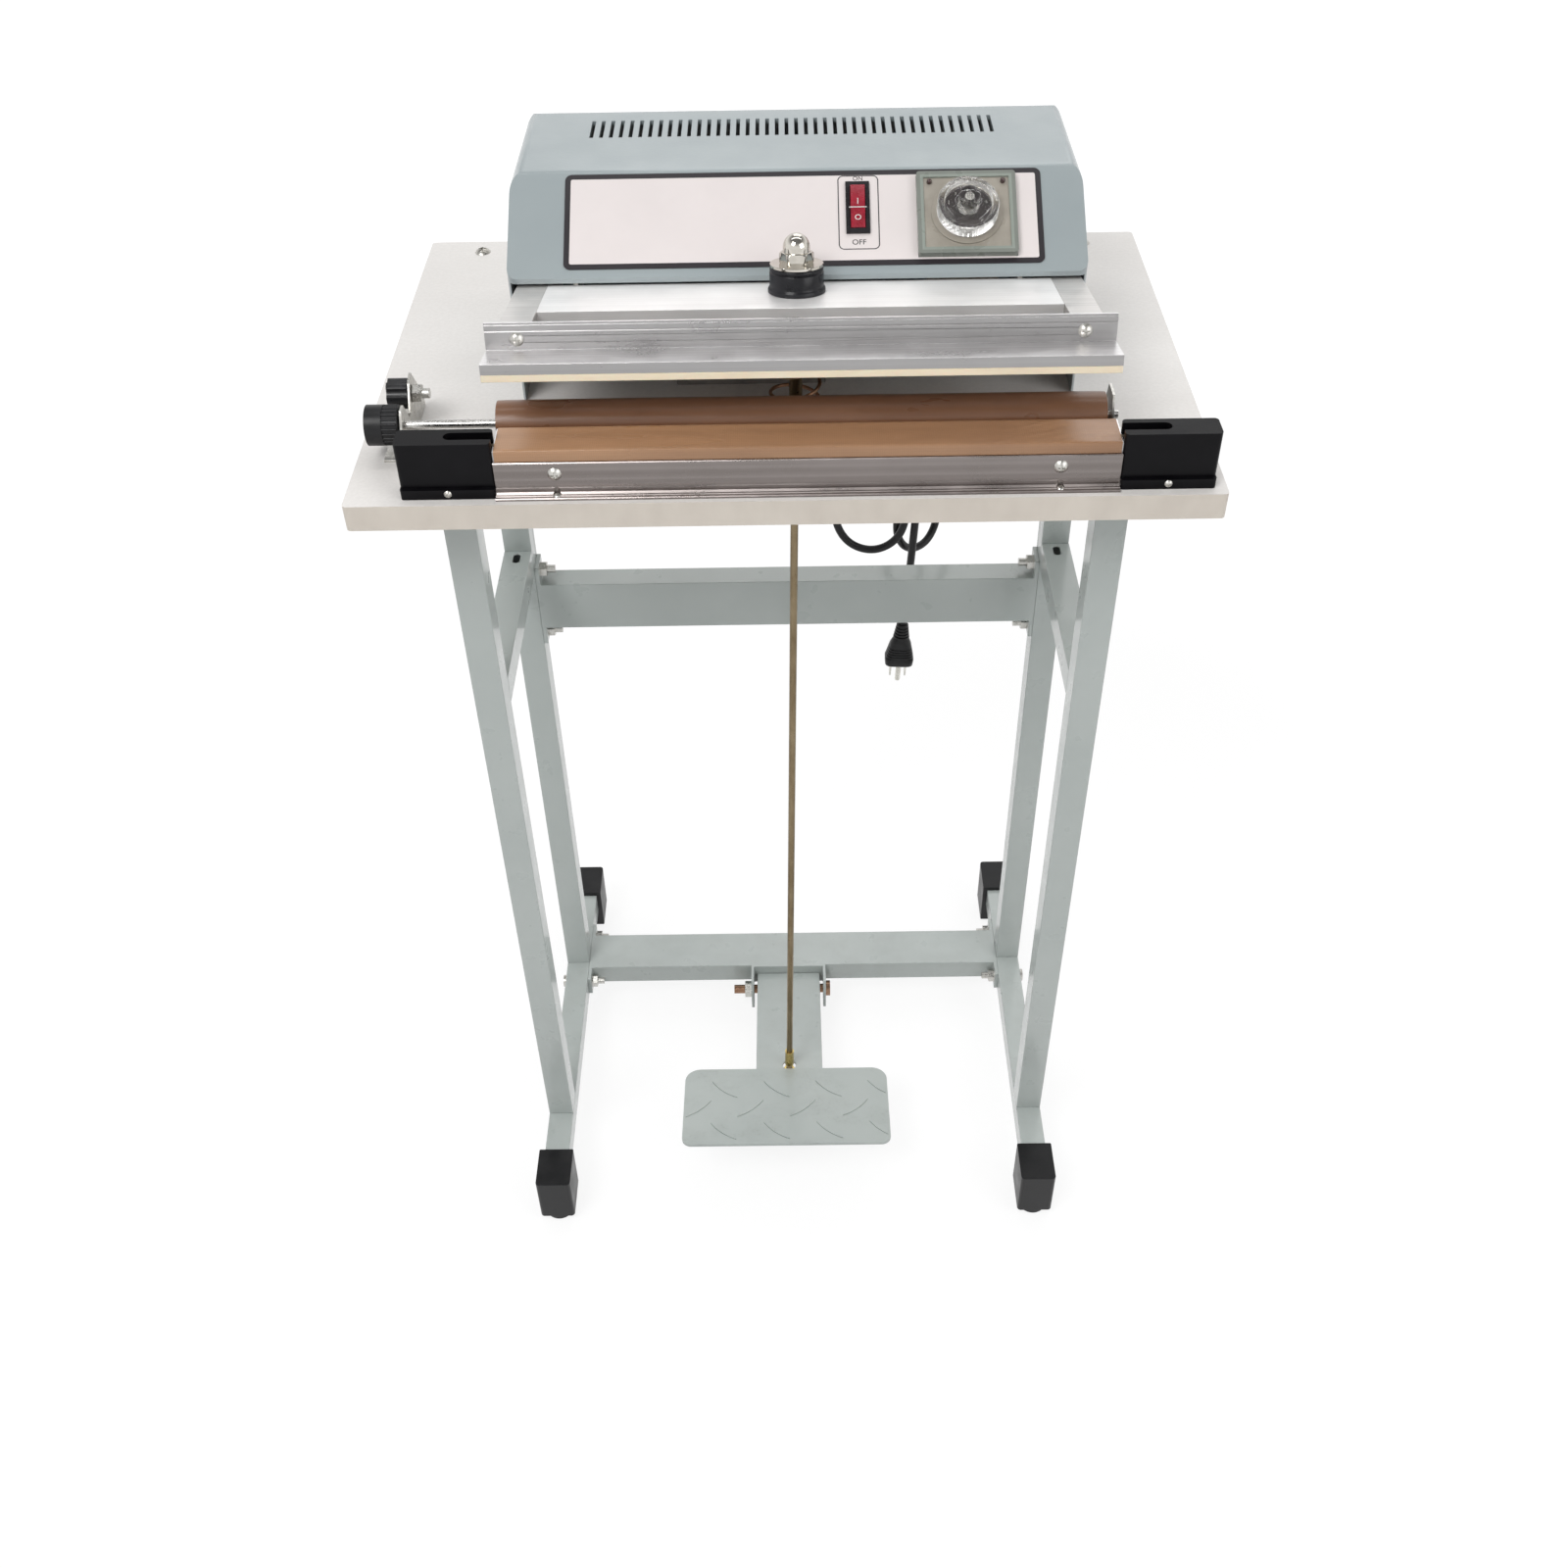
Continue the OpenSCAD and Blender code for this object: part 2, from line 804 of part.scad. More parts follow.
// The flat tube across the arms, drilled for the pull shaft.
module press_channel() {
    length = arm_spacing - arm_w;
    color("gainsboro")
        on_press()
            difference() {
                translate([seal_x - length / 2, channel_y + channel_d / 2, hinge_z])
                    rotate([0, 90, 0])
                        tube_z(arm_h, channel_d, length, arm_wall);
                translate([pull_x, hinge_y + seat_y, hinge_z - arm_h])
                    for (shift = [1, 6])
                        translate([0, shift, 0])
                            cylinder(d = shaft_d + 6, h = 2 * arm_h);
            }
}

// The upper jaw's extruded section: web, ledge and front lip.
module upper_jaw() {
    color("gainsboro")
        on_press()
            difference() {
                translate([seal_x - jaw_len / 2, 0, 0])
                    rotate([90, 0, 90])
                        linear_extrude(jaw_len)
                            polygon([
                                [web_back, lip_bottom], [web_back, arm_top], [web_front + 0.6, arm_top],
                                [web_front + 0.6, arm_top - 1.4], [web_front, arm_top - 1.4],
                                [web_front, arm_top - 4.2], [web_front + 0.4, arm_top - 4.6],
                                [web_front, arm_top - 5], [web_front, ledge_top],
                                [seal_y, ledge_top], [seal_y, lip_bottom],
                                [seal_y + jaw_t, lip_bottom], [seal_y + jaw_t, ledge_top - jaw_t],
                                [web_front, ledge_top - jaw_t], [web_front, lip_bottom]
                            ]);
                for (side = [-1, 1])
                    translate([seal_x + side * arm_spacing / 2, web_front - 1, arm_top - 9])
                        rotate([-90, 0, 0])
                            cylinder(d = 4, h = jaw_t + 2);
            }
}

// A T-section of silicone held in the upper jaw.
module silicone_strip() {
    color("wheat")
        on_press() {
            box(seal_x - jaw_len / 2, seal_x + jaw_len / 2, seal_y, web_back, silicone_z, lip_bottom);
            box(seal_x - jaw_len / 2, seal_x + jaw_len / 2, seal_y + jaw_t, web_front,
                lip_bottom - eps, ledge_top - jaw_t);
        }
}

module jaw_screws() {
    color("silver")
        on_press()
            for (side = [-1, 1])
                translate([seal_x + side * arm_spacing / 2, web_front, arm_top - 9])
                    rotate([90, 0, 0])
                        pan_screw(8, 4, jaw_t + 6);
}

// A moulded bush with a foot and a rolled top edge.
module rubber_bush() {
    r = bush_d / 2;
    color("black")
        on_press()
            translate([pull_x, hinge_y + seat_y, arm_top])
                rotate_extrude()
                    polygon([
                        [shaft_d, 0], [r, 0], [r, 2], [r - 1, 3.2], [r - 1, bush_h - 3.2],
                        [r - 1.6, bush_h - 2.7], [r - 1.2, bush_h - 2.2], [r - 1.2, bush_h - 0.8],
                        [r - 2, bush_h], [shaft_d, bush_h]
                    ]);
}

// The acorn nut on the washer above the bush.
module acorn_nut() {
    color("silver")
        on_press()
            translate([pull_x, hinge_y + seat_y, arm_top + bush_h]) {
                cylinder(d = washer_d, h = washer_t);
                translate([0, 0, washer_t - eps])
                    intersection() {
                        hex(hex_af, hex_h + eps);
                        translate([0, 0, -hex_af * 0.62 + hex_h])
                            sphere(d = hex_af * 1.75);
                    }
                translate([0, 0, washer_t + hex_h - eps]) {
                    cylinder(d = dome_d, h = dome_h - dome_d / 2 + eps);
                    translate([0, 0, dome_h - dome_d / 2])
                        sphere(d = dome_d);
                }
            }
}

// The return spring: wire swept round a helix that narrows upward.
spring_top_z = hinge_z - seat_y * sin(open_angle) - (arm_h / 2) * cos(open_angle)
    - (spring_d_top / 2 + spring_wire) * tan(open_angle) - 0.4;
spring_steps = 16;
spring_y = hinge_y + seat_y * cos(open_angle) - arm_h / 2 * sin(open_angle) + 3;

function helix(t) =
    let (r = (spring_d_low + (spring_d_top - spring_d_low) * t) / 2,
         a = 360 * spring_turns * t,
         rise = spring_top_z - 2 * spring_wire,
         z = spring_wire / 2 + (t < 0.12 ? 0.6 * spring_wire * t / 0.12
             : t > 0.88 ? rise + spring_wire + 0.6 * spring_wire * (t - 1) / 0.12
             : 0.6 * spring_wire + (rise + spring_wire - 1.2 * spring_wire) * (t - 0.12) / 0.76))
    [r * cos(a), r * sin(a), z];

// Sweep of a round section along points, as one closed polyhedron.
function unit(v) = v / norm(v);
function dirs(p) = [for (i = [0 : len(p) - 1])
    unit(p[min(i + 1, len(p) - 1)] - p[max(i - 1, 0)])];
// Carries a side vector along the path so that the rings don't twist.
function carried(d, i, v) = i == len(d) ? []
    : let (w = unit(v - (v * d[i]) * d[i])) concat([w], carried(d, i + 1, w));

module sweep(p, r, sides, side_vector) {
    d = dirs(p);
    u = carried(d, 0, side_vector);
    points = [for (i = [0 : len(p) - 1], k = [0 : sides - 1])
        let (v = cross(d[i], u[i]), a = 360 * k / sides)
        p[i] + r * (cos(a) * u[i] + sin(a) * v)];
    rings = [for (i = [0 : len(p) - 2], k = [0 : sides - 1])
        let (n = (k + 1) % sides)
        [i * sides + k, (i + 1) * sides + k, (i + 1) * sides + n, i * sides + n]];
    first = [for (k = [0 : sides - 1]) k];
    last = [for (k = [sides - 1 : -1 : 0]) (len(p) - 1) * sides + k];
    polyhedron(points, concat([first], rings, [last]), convexity = 10);
}

module press_spring() {
    steps = ceil(spring_turns * spring_steps);
    color("sienna")
        place()
            translate([pull_x - 1.4, spring_y, 0])
                sweep([for (i = [0 : steps]) helix(i / steps)], spring_wire / 2, 8, [1, 0, 0]);
}

// ---- lower jaw ----
module lower_bar() {
    color("gainsboro")
        place()
            difference() {
                box(bar_x - bar_len / 2, bar_x + bar_len / 2, seal_y, seal_y + seal_d,
                    0, bar_h - cloth_t - heater_t);
                box(bar_x - bar_len / 2 - 1, bar_x + bar_len / 2 + 1, seal_y + 6, seal_y + seal_d - 6,
                    -1, bar_h - 9);
            }
}

// The front angle: face, foot and the two ridges along the foot.
module front_strip() {
    face = seal_y - strip_t;
    color("gainsboro")
        place()
            difference() {
                translate([bar_x - bar_len / 2, 0, 0])
                    rotate([90, 0, 90])
                        linear_extrude(bar_len)
                            polygon([
                                [seal_y, 0], [seal_y, strip_h], [face + 0.5, strip_h],
                                [face, strip_h - 0.5], [face, 5.4], [face - 0.6, 5],
                                [face - 0.6, 2.6], [face - 1.6, 1.5], [face - 3, 1.5],
                                [face - 3.4, 2], [face - 3.8, 1.5], [face - strip_foot + 0.5, 1.5],
                                [face - strip_foot, 1], [face - strip_foot, 0]
                            ]);
                for (x = [bar_x - screw_x, bar_x + screw_x]) {
                    translate([x, seal_y + 1, 13.8])
                        rotate([90, 0, 0])
                            cylinder(d = 4.2, h = 9);
                    translate([x + 0.5, face - 2.4, -1])
                        cylinder(d = 2.7, h = 9);
                    translate([x + 0.5, face - 2.4, 1.4])
                        cylinder(d = 4.9, h = 9);
                }
            }
}

// The heating strip with its sprung terminals inside the end blocks.
module heater_strip() {
    top = bar_h - cloth_t;
    color("darkgoldenrod")
        place() {
            box(bar_x - bar_len / 2 - 8, bar_x + bar_len / 2 + 8, heater_y - heater_w / 2,
                heater_y + heater_w / 2, top - heater_t, top);
            for (side = [-1, 1])
                translate([bar_x + side * (bar_len / 2 + 14), heater_y, 0]) {
                    box(-7, 7, -1.6, 1.6, 4, top - 1);
                    translate([-side * 6, 0, 0])
                        box(-1, 1, -1.6, 1.6, top - 1 - eps, top);
                }
        }
}

// Release cloth laid over the bar and led down to the roll behind it.
module release_cloth() {
    top = bar_h - cloth_t;
    back = seal_y + seal_d;
    color("peru")
        place()
            translate([bar_x - bar_len / 2 + 1, 0, 0])
                rotate([90, 0, 90])
                    linear_extrude(bar_len - 2)
                        polygon([
                            [seal_y, strip_h + 0.2], [seal_y - cloth_t, strip_h + 0.2],
                            [seal_y - cloth_t, top], [seal_y - cloth_t / 2, bar_h - 0.2],
                            [seal_y + 1, bar_h], [back - 1, bar_h], [back + cloth_t / 2, bar_h - 0.2],
                            [back + cloth_t, top - 0.4], [back + 1.5, 12.8],
                            [roll_y - 8.8, 5.6], [roll_y - 1, roll_z - roll_d / 2 - 0.5],
                            [roll_y - 1, roll_z - roll_d / 2 - 1.2], [roll_y - 9, 4.8],
                            [back + 0.8, 12.2], [back, top - 0.6], [back, top],
                            [seal_y, top]
                        ]);
}

// A hollow moulded block with a slot in its top and a flange along its front.
module end_block(side) {
    x0 = bar_len / 2;
    slot_len = 27;
    slot_x0 = side > 0 ? x0 - 1 : -x0 - slot_len + block_slot / 2;
    slot_x1 = side > 0 ? x0 + slot_len - block_slot / 2 : -x0 + 1;
    color("black")
        place()
            translate([bar_x, 0, 0])
                difference() {
                    union() {
                        translate([side * (x0 + block_len / 2), seal_y - 2.3, 0])
                            linear_extrude(block_h)
                                round_rect(block_len, block_d, 2.5, 2.5);
                        translate([side * (x0 + block_len / 2), seal_y - 5, 0])
                            linear_extrude(6)
                                round_rect(block_len, block_d, 2, 1);
                    }
                    translate([side * (x0 + block_len / 2), 0, 0])
                        box(-block_len / 2 + 3, block_len / 2 - 3, seal_y + 1,
                            seal_y + block_d - 6, -1, block_h - 3);
                    box(slot_x0, slot_x1, heater_y - block_slot / 2, heater_y + block_slot / 2,
                        strip_h + 1, block_h + 1);
                    translate([side * (x0 + slot_len - block_slot / 2), heater_y, strip_h + 1])
                        cylinder(d = block_slot, h = block_h);
                    translate([side * (x0 + block_len / 2), seal_y - 4, 3.4])
                        rotate([90, 0, 0])
                            cylinder(d = 2.7, h = 3);
                }
}

module left_end_block() {
    end_block(-1);
}

module right_end_block() {
    end_block(1);
}

module strip_screws() {
    color("silver")
        place() {
            for (x = [bar_x - screw_x, bar_x + screw_x]) {
                translate([x, seal_y - strip_t, 13.8])
                    rotate([90, 0, 0])
                        pan_screw(8, 4, strip_t);
                translate([x + 0.5, seal_y - strip_t - 2.4, 1.4])
                    pan_screw(4.5, 2.5, 1.4);
            }
            for (side = [-1, 1])
                translate([bar_x + side * (bar_len / 2 + block_len / 2), seal_y - 5, 3.4])
                    rotate([90, 0, 0])
                        pan_screw(4.5, 2.5, 0.5);
        }
}

// ---- release cloth roll ----
module left_roll_bracket() {
    color("silver")
        place()
            difference() {
                union() {
                    translate([left_plate_x - plate_t, 0, 0])
                        rotate([90, 0, 90])
                            linear_extrude(plate_t)
                                polygon([
                                    [roll_y - 9, 0], [roll_y - 9, 20], [roll_y - 3, 30],
                                    [roll_y + 4, 30], [roll_y + 13, 17], [clamp_y - 13, 17],
                                    [clamp_y - 4, 31], [clamp_y + 4, 34], [clamp_y + 26, 8],
                                    [clamp_y + 26, 0]
                                ]);
                    box(left_plate_x - 14, left_plate_x - plate_t + eps, roll_y - 9, clamp_y + 26,
                        0, plate_t);
                }
                translate([0, roll_y, roll_z])
                    rod_x(spindle_d + 2 * run_fit, left_plate_x - 9, left_plate_x + 9);
                translate([0, clamp_y, roll_z + 3])
                    rod_x(6 + 2 * run_fit, left_plate_x - 9, left_plate_x + 9);
            }
}

module right_roll_bracket() {
    color("silver")
        place()
            difference() {
                union() {
                    translate([right_plate_x, 0, 0])
                        rotate([90, 0, 90])
                            linear_extrude(plate_t)
                                polygon([
                                    [roll_y - 12, 0], [roll_y - 12, 16], [roll_y - 4, 34],
                                    [roll_y + 10, 34], [roll_y + 16, 20], [roll_y + 16, 0]
                                ]);
                    box(right_plate_x + plate_t - eps, right_plate_x + 16, roll_y - 12, roll_y + 16,
                        0, plate_t);
                }
                translate([0, roll_y, roll_z])
                    rod_x(spindle_d + 2 * run_fit, right_plate_x - 5, right_plate_x + 5);
            }
}

module roll_spindle() {
    color("gainsboro")
        place()
            translate([0, roll_y, roll_z])
                rod_x(spindle_d, left_plate_x - 18, right_plate_x + 5);
}

// A smooth cap on a ribbed collar.
module roll_knob() {
    back = left_plate_x - plate_t - 1;
    color("black")
        place()
            translate([0, roll_y, roll_z])
                difference() {
                    union() {
                        rod_x(knob_d - 1.5, back - 9, back);
                        rod_x(knob_d, back - 19, back - 9);
                        for (i = [0 : 23])
                            rotate([15 * i, 0, 0])
                                translate([0, 0, knob_d / 2 - 0.8])
                                    rod_x(1.4, back - 9 - eps, back - 0.5);
                    }
                    rod_x(spindle_d, left_plate_x - 18, back + 1);
                }
}

module cloth_roll() {
    color("peru")
        place()
            translate([0, roll_y, roll_z])
                difference() {
                    rod_x(roll_d, roll_x - roll_len / 2, roll_x + roll_len / 2);
                    rod_x(spindle_d, roll_x - roll_len, roll_x + roll_len);
                }
}

// The clamping screw: a lobed knob, its stud and the nut inside the bracket.
module clamp_knob() {
    back = left_plate_x - plate_t - 0.5;
    color("black")
        place()
            translate([0, clamp_y, roll_z + 3]) {
                difference() {
                    rod_x(18, back - 12, back);
                    for (i = [0 : 5])
                        rotate([60 * i, 0, 0])
                            translate([0, 0, 11])
                                rod_x(7, back - 13, back + 1);
                }
                rod_x(6, back - 1, left_plate_x + 10);
                translate([left_plate_x + 0.5, 0, 0])
                    rotate([0, 90, 0])
                        hex(10, 5);
            }
}

// ---- control housing ----
// Points round a corner at b, between a and c, with radius r.
function rounded(a, b, c, r) =
    let (u = unit(a - b), v = unit(c - b), half = acos(u * v) / 2,
         m = b + unit(u + v) * r / sin(half), turn = 180 - 2 * half, steps = 6,
         from = b + u * r / tan(half) - m)
    [for (k = [0 : steps])
        let (t = -turn * k / steps)
        m + [from[0] * cos(t) - from[1] * sin(t), from[0] * sin(t) + from[1] * cos(t)]];

// Side view of the housing, set in by i from its outer faces.
function housing_side(i) =
    let (a = panel_angle,
         front_z = panel_z + i * (tan(a) - 1 / cos(a)),
         back_y = housing_y + (housing_h - i - panel_z + i / cos(a)) / tan(a),
         nose = [housing_y + i, front_z],
         slope_top = [back_y, housing_h - i],
         rear_top = [housing_back - i, housing_h - i],
         rear = [housing_back - i, 0])
    concat([[housing_y + i, 0], nose], rounded(nose, slope_top, rear_top, panel_fold - i),
           rounded(slope_top, rear_top, rear, back_fold - i), [rear]);

module housing_body(i) {
    w = housing_w - 2 * i;
    intersection() {
        translate([housing_x - w / 2, 0, i > 0 ? -1 : 0])
            rotate([90, 0, 90])
                linear_extrude(w)
                    polygon(housing_side(i));
        translate([housing_x, housing_y + i, -2])
            linear_extrude(housing_h + 4)
                round_rect(w, housing_back - housing_y - 2 * i, 6 - i, 15 - i);
        translate([housing_x, housing_back + 5, -40])
            rotate([90, 0, 0])
                linear_extrude(housing_back)
                    round_rect(w, housing_h + 40 - i, 1, 8 - i);
    }
}

module control_housing() {
    color("cadetblue")
        difference() {
            place()
                difference() {
                    housing_body(0);
                    housing_body(housing_t);
                    box(housing_x - housing_w / 2 + housing_t, housing_x + housing_w / 2 - housing_t,
                        housing_y - 1, housing_y + 12, -1, housing_lip_z);
                    for (i = [0 : vent_count - 1])
                        translate([housing_x - 2 + (i - (vent_count - 1) / 2) * vent_pitch - 1.2,
                                   housing_back - 49, housing_h - 10])
                            cube([2.4, 27, 20]);
                    translate([gland_x, housing_back - 9, gland_z])
                        rotate([-90, 0, 0])
                            cylinder(d = 11, h = 20);
                }
            on_panel() {
                translate([switch_x - switch_w / 2 + 1, switch_s - switch_len / 2 + 1, -10])
                    cube([switch_w - 2, switch_len - 2, 20]);
                translate([timer_x - 22, timer_s - 22, -10])
                    cube([44, 44, 20]);
            }
        }
}

// The label plate is cut away round the switch and the timer.
module label_plate() {
    color("white")
        on_panel()
            difference() {
                translate([label_x, label_s[0], 0])
                    linear_extrude(label_t)
                        round_rect(label_w, label_s[1] - label_s[0], 4, 4);
                translate([switch_x - switch_w / 2, switch_s - switch_len / 2, -1])
                    cube([switch_w, switch_len, 5]);
                translate([timer_x - timer_w / 2, timer_s - timer_w / 2 + 2, -1])
                    cube([timer_w, timer_w - 4, 5]);
            }
}

module switch_bezel() {
    color("black")
        on_panel()
            translate([switch_x, switch_s, 0])
                difference() {
                    union() {
                        translate([-switch_w / 2, -switch_len / 2, 0])
                            cube([switch_w, switch_len, switch_h]);
                        translate([-switch_w / 2 + 1.5, -switch_len / 2 + 1.5, -16])
                            cube([switch_w - 3, switch_len - 3, 16 + eps]);
                    }
                    translate([-switch_w / 2 + 2.4, -switch_len / 2 + 3, -7])
                        cube([switch_w - 4.8, switch_len - 6, 20]);
                    translate([0, 0, -1])
                        rod_x(2.4 + 2 * run_fit, -switch_w / 2 + 1.4, switch_w / 2 - 1.4);
                }
}

// The rocker: two faces that meet over its pivot pins.
module switch_rocker() {
    half = switch_len / 2 - 3.6;
    color("red")
        on_panel()
            translate([switch_x, switch_s, -1])
                rotate([5, 0, 0]) {
                    rotate([90, 0, 90])
                        translate([0, 0, -switch_w / 2 + 2.8])
                            linear_extrude(switch_w - 5.6)
                                polygon([
                                    [-half, 1], [-half, 4.4], [-half + 1, 4.8], [0, 3.2],
                                    [half - 1, 4.8], [half, 4.4], [half, 1], [3, -3.4], [-3, -3.4]
                                ]);
                    rod_x(2.4, -switch_w / 2 + 1.8, switch_w / 2 - 1.8);
                }
}

module timer_frame() {
    color("slategray")
        on_panel()
            translate([timer_x, timer_s, 0])
                difference() {
                    union() {
                        translate([0, -timer_w / 2 + 2, 0])
                            linear_extrude(timer_h)
                                round_rect(timer_w, timer_w - 4, 2, 2);
                        translate([-21.5, -21.5, -38])
                            cube([43, 43, 38 + eps]);
                    }
                    translate([-timer_w / 2 + 4, -timer_w / 2 + 6, timer_h - 1])
                        cube([timer_w - 8, timer_w - 12, 4]);
                    translate([0, 0, -6])
                        cylinder(d = 6 + 2 * run_fit, h = 20);
                }
}

module timer_dial() {
    color("darkslategray")
        on_panel()
            translate([timer_x, timer_s, timer_h - 1])
                difference() {
                    cylinder(d = 42, h = 0.8);
                    translate([0, 0, -1])
                        cylinder(d = 7, h = 3);
                }
}

// A clear knob with a ribbed rim, a raised grip boss and its spindle.
module timer_knob() {
    ribs = 48;
    r = timer_knob_d / 2;
    color("lightgray")
        on_panel()
            translate([timer_x, timer_s, timer_h]) {
                difference() {
                    linear_extrude(9)
                        polygon([for (i = [0 : 2 * ribs - 1])
                            (i % 2 == 0 ? r : r - 0.9) * [cos(180 * i / ribs), sin(180 * i / ribs)]]);
                    translate([0, 0, 6])
                        cylinder(d = timer_knob_d - 7, h = 5);
                }
                translate([0, 0, 6 - eps])
                    cylinder(d = 13, h = 11);
                translate([0, 0, -8])
                    cylinder(d = 6, h = 9);
            }
}

module indicator_lamps() {
    color("red")
        on_panel()
            for (side = [-1, 1])
                translate([timer_x + side * 21.5, timer_s + 20, timer_h - 1]) {
                    cylinder(d = 3, h = 1.5);
                    translate([0, 0, 1.5])
                        sphere(d = 3);
                }
}

// ---- inside the housing ----
// A laminated core with a wound bobbin between its limbs.
module transformer() {
    color("dimgray")
        place()
            translate([-20, 150, 0]) {
                difference() {
                    box(-40, 40, -17, 17, 3, 63);
                    for (side = [-1, 1])
                        translate([side * 19, 0, 0])
                            box(-7, 7, -30, 30, 15, 51);
                }
                difference() {
                    box(-25.8, 25.8, -26, 26, 15.2, 50.8);
                    box(-12.1, 12.1, -17.2, 17.2, 0, 60);
                    for (side = [-1, 1])
                        translate([side * 30.2, 0, 0])
                            box(-4.2, 4.2, -17.2, 17.2, 0, 60);
                }
                box(-46, 46, -17, 17, 0, 3 + eps);
            }
}

// The switch that the left arm presses when the jaws meet.
module limit_switch() {
    color("dimgray")
        place()
            translate([seal_x - arm_spacing / 2, 186, 0]) {
                box(-8, 8, -3, 22, 0, 2);
                box(2, 5, -3, 22, 0, 24);
                box(-6, 2.01, -3, 19, 12, 26);
                translate([-2, 10, 26 - eps])
                    cylinder(d = 3, h = hinge_z - arm_h / 2 - 26.4 + eps);
            }
}

module hinge_brackets() {
    color("silver")
        place()
            for (side = [-1, 1])
                translate([seal_x + side * (arm_spacing / 2 - arm_w / 2 - 3), 0, 0])
                    difference() {
                        union() {
                            rotate([90, 0, 90])
                                translate([0, 0, -1.5])
                                    linear_extrude(3)
                                        polygon([
                                            [hinge_y - 18, 0], [hinge_y - 10, hinge_z + 3],
                                            [hinge_y - 5, hinge_z + 10], [hinge_y + 5, hinge_z + 10],
                                            [hinge_y + 10, hinge_z + 3], [hinge_y + 18, 0]
                                        ]);
                            translate([side > 0 ? -18 : 0, 0, 0])
                                box(0, 18, hinge_y - 18, hinge_y + 18, 0, 3);
                        }
                        translate([0, hinge_y, hinge_z])
                            rod_x(hinge_d, -9, 9);
                    }
}

module hinge_shaft() {
    half = arm_spacing / 2 + arm_w / 2;
    color("silver")
        place()
            translate([0, hinge_y, hinge_z])
                rod_x(hinge_d, seal_x - half, seal_x + half);
}

// ---- mains cord ----
module strain_relief() {
    color("black")
        place()
            translate([gland_x, housing_back, gland_z])
                rotate([-90, 0, 0])
                    rotate_extrude()
                        polygon([
                            [0, -housing_t], [5.5, -housing_t], [5.5, 0], [8, 0], [8, 3], [6, 4],
                            [cord_d / 2 + 1.2, gland_len - 6], [0, gland_len - 6]
                        ]);
}

module power_cord() {
    color("black")
        place()
            sweep(CORD, cord_d / 2, 8, [1, 0, 0]);
}

// A moulded plug with three pins, tapering up to the cord.
module power_plug() {
    last = CORD[len(CORD) - 1];
    color("black")
        place()
            translate(last)
                rotate([0, plug_lean, 0]) {
                    hull() {
                        translate([0, 0, -1])
                            cylinder(d = 11, h = 1, $fn = 32);
                        translate([0, 0, -20])
                            linear_extrude(1)
                                plug_outline(18, 14);
                    }
                    hull() {
                        translate([0, 0, -20])
                            linear_extrude(1)
                                plug_outline(18, 14);
                        translate([0, 0, -36])
                            linear_extrude(2)
                                plug_outline(25, 17);
                        translate([0, 0, -42])
                            linear_extrude(2)
                                plug_outline(24, 16);
                    }
                    for (side = [-1, 1])
                        translate([side * 6.5, 2, -57])
                            translate([-0.75, -3.2, 0])
                                cube([1.5, 6.4, 16]);
                    translate([0, -4.2, -59])
                        cylinder(d = 4.6, h = 18);
                }
}

module plug_outline(w, d) {
    translate([0, -d / 2])
        round_rect(w, d, d * 0.3, d * 0.3);
}

table_top();
left_front_leg();
right_front_leg();
left_rear_leg();
right_rear_leg();
left_foot_rail();
right_foot_rail();
side_rails();
top_bars();
upper_beam();
lower_beam();
front_left_cap();
front_right_cap();
rear_left_cap();
rear_right_cap();
frame_fasteners();
pedal_bracket();
pedal_pivot_bolt();
control_housing();
label_plate();
switch_bezel();
switch_rocker();
timer_frame();
timer_dial();
timer_knob();
indicator_lamps();
transformer();
limit_switch();
hinge_brackets();
hinge_shaft();
lower_bar();
front_strip();
heater_strip();
release_cloth();
left_end_block();
right_end_block();
strip_screws();
left_roll_bracket();
right_roll_bracket();
roll_spindle();
roll_knob();
cloth_roll();
clamp_knob();
press_spring();
strain_relief();
power_cord();
power_plug();
left_arm();
right_arm();
press_channel();
upper_jaw();
silicone_strip();
jaw_screws();
rubber_bush();
acorn_nut();
pull_rod();
rod_fittings();
pedal_arm();
pedal_plate();
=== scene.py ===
import math

import bmesh
import bpy
from mathutils import Matrix, Vector, noise


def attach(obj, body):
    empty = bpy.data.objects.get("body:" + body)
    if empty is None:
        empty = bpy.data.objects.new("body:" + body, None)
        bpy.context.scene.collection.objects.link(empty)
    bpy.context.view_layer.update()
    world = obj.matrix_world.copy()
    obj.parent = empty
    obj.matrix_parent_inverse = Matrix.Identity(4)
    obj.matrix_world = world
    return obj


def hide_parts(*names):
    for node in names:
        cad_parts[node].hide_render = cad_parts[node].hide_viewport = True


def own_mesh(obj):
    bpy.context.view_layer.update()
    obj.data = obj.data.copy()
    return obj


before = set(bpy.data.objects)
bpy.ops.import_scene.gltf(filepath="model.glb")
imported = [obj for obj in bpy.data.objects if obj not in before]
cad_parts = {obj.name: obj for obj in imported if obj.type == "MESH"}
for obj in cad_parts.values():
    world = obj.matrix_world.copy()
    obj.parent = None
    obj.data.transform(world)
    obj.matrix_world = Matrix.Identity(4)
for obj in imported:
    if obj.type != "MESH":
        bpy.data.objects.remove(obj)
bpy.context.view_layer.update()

# ---- Where the operator stands ----
# A step back from the table's front edge, looking down at it. Places here are
# in millimetres: across, back from the front edge, and up from the table top.
table_front, table_height = 161, 686


def at(x, y, z):
    return Vector((x / 1000, (y - table_front) / 1000, (z + table_height) / 1000))


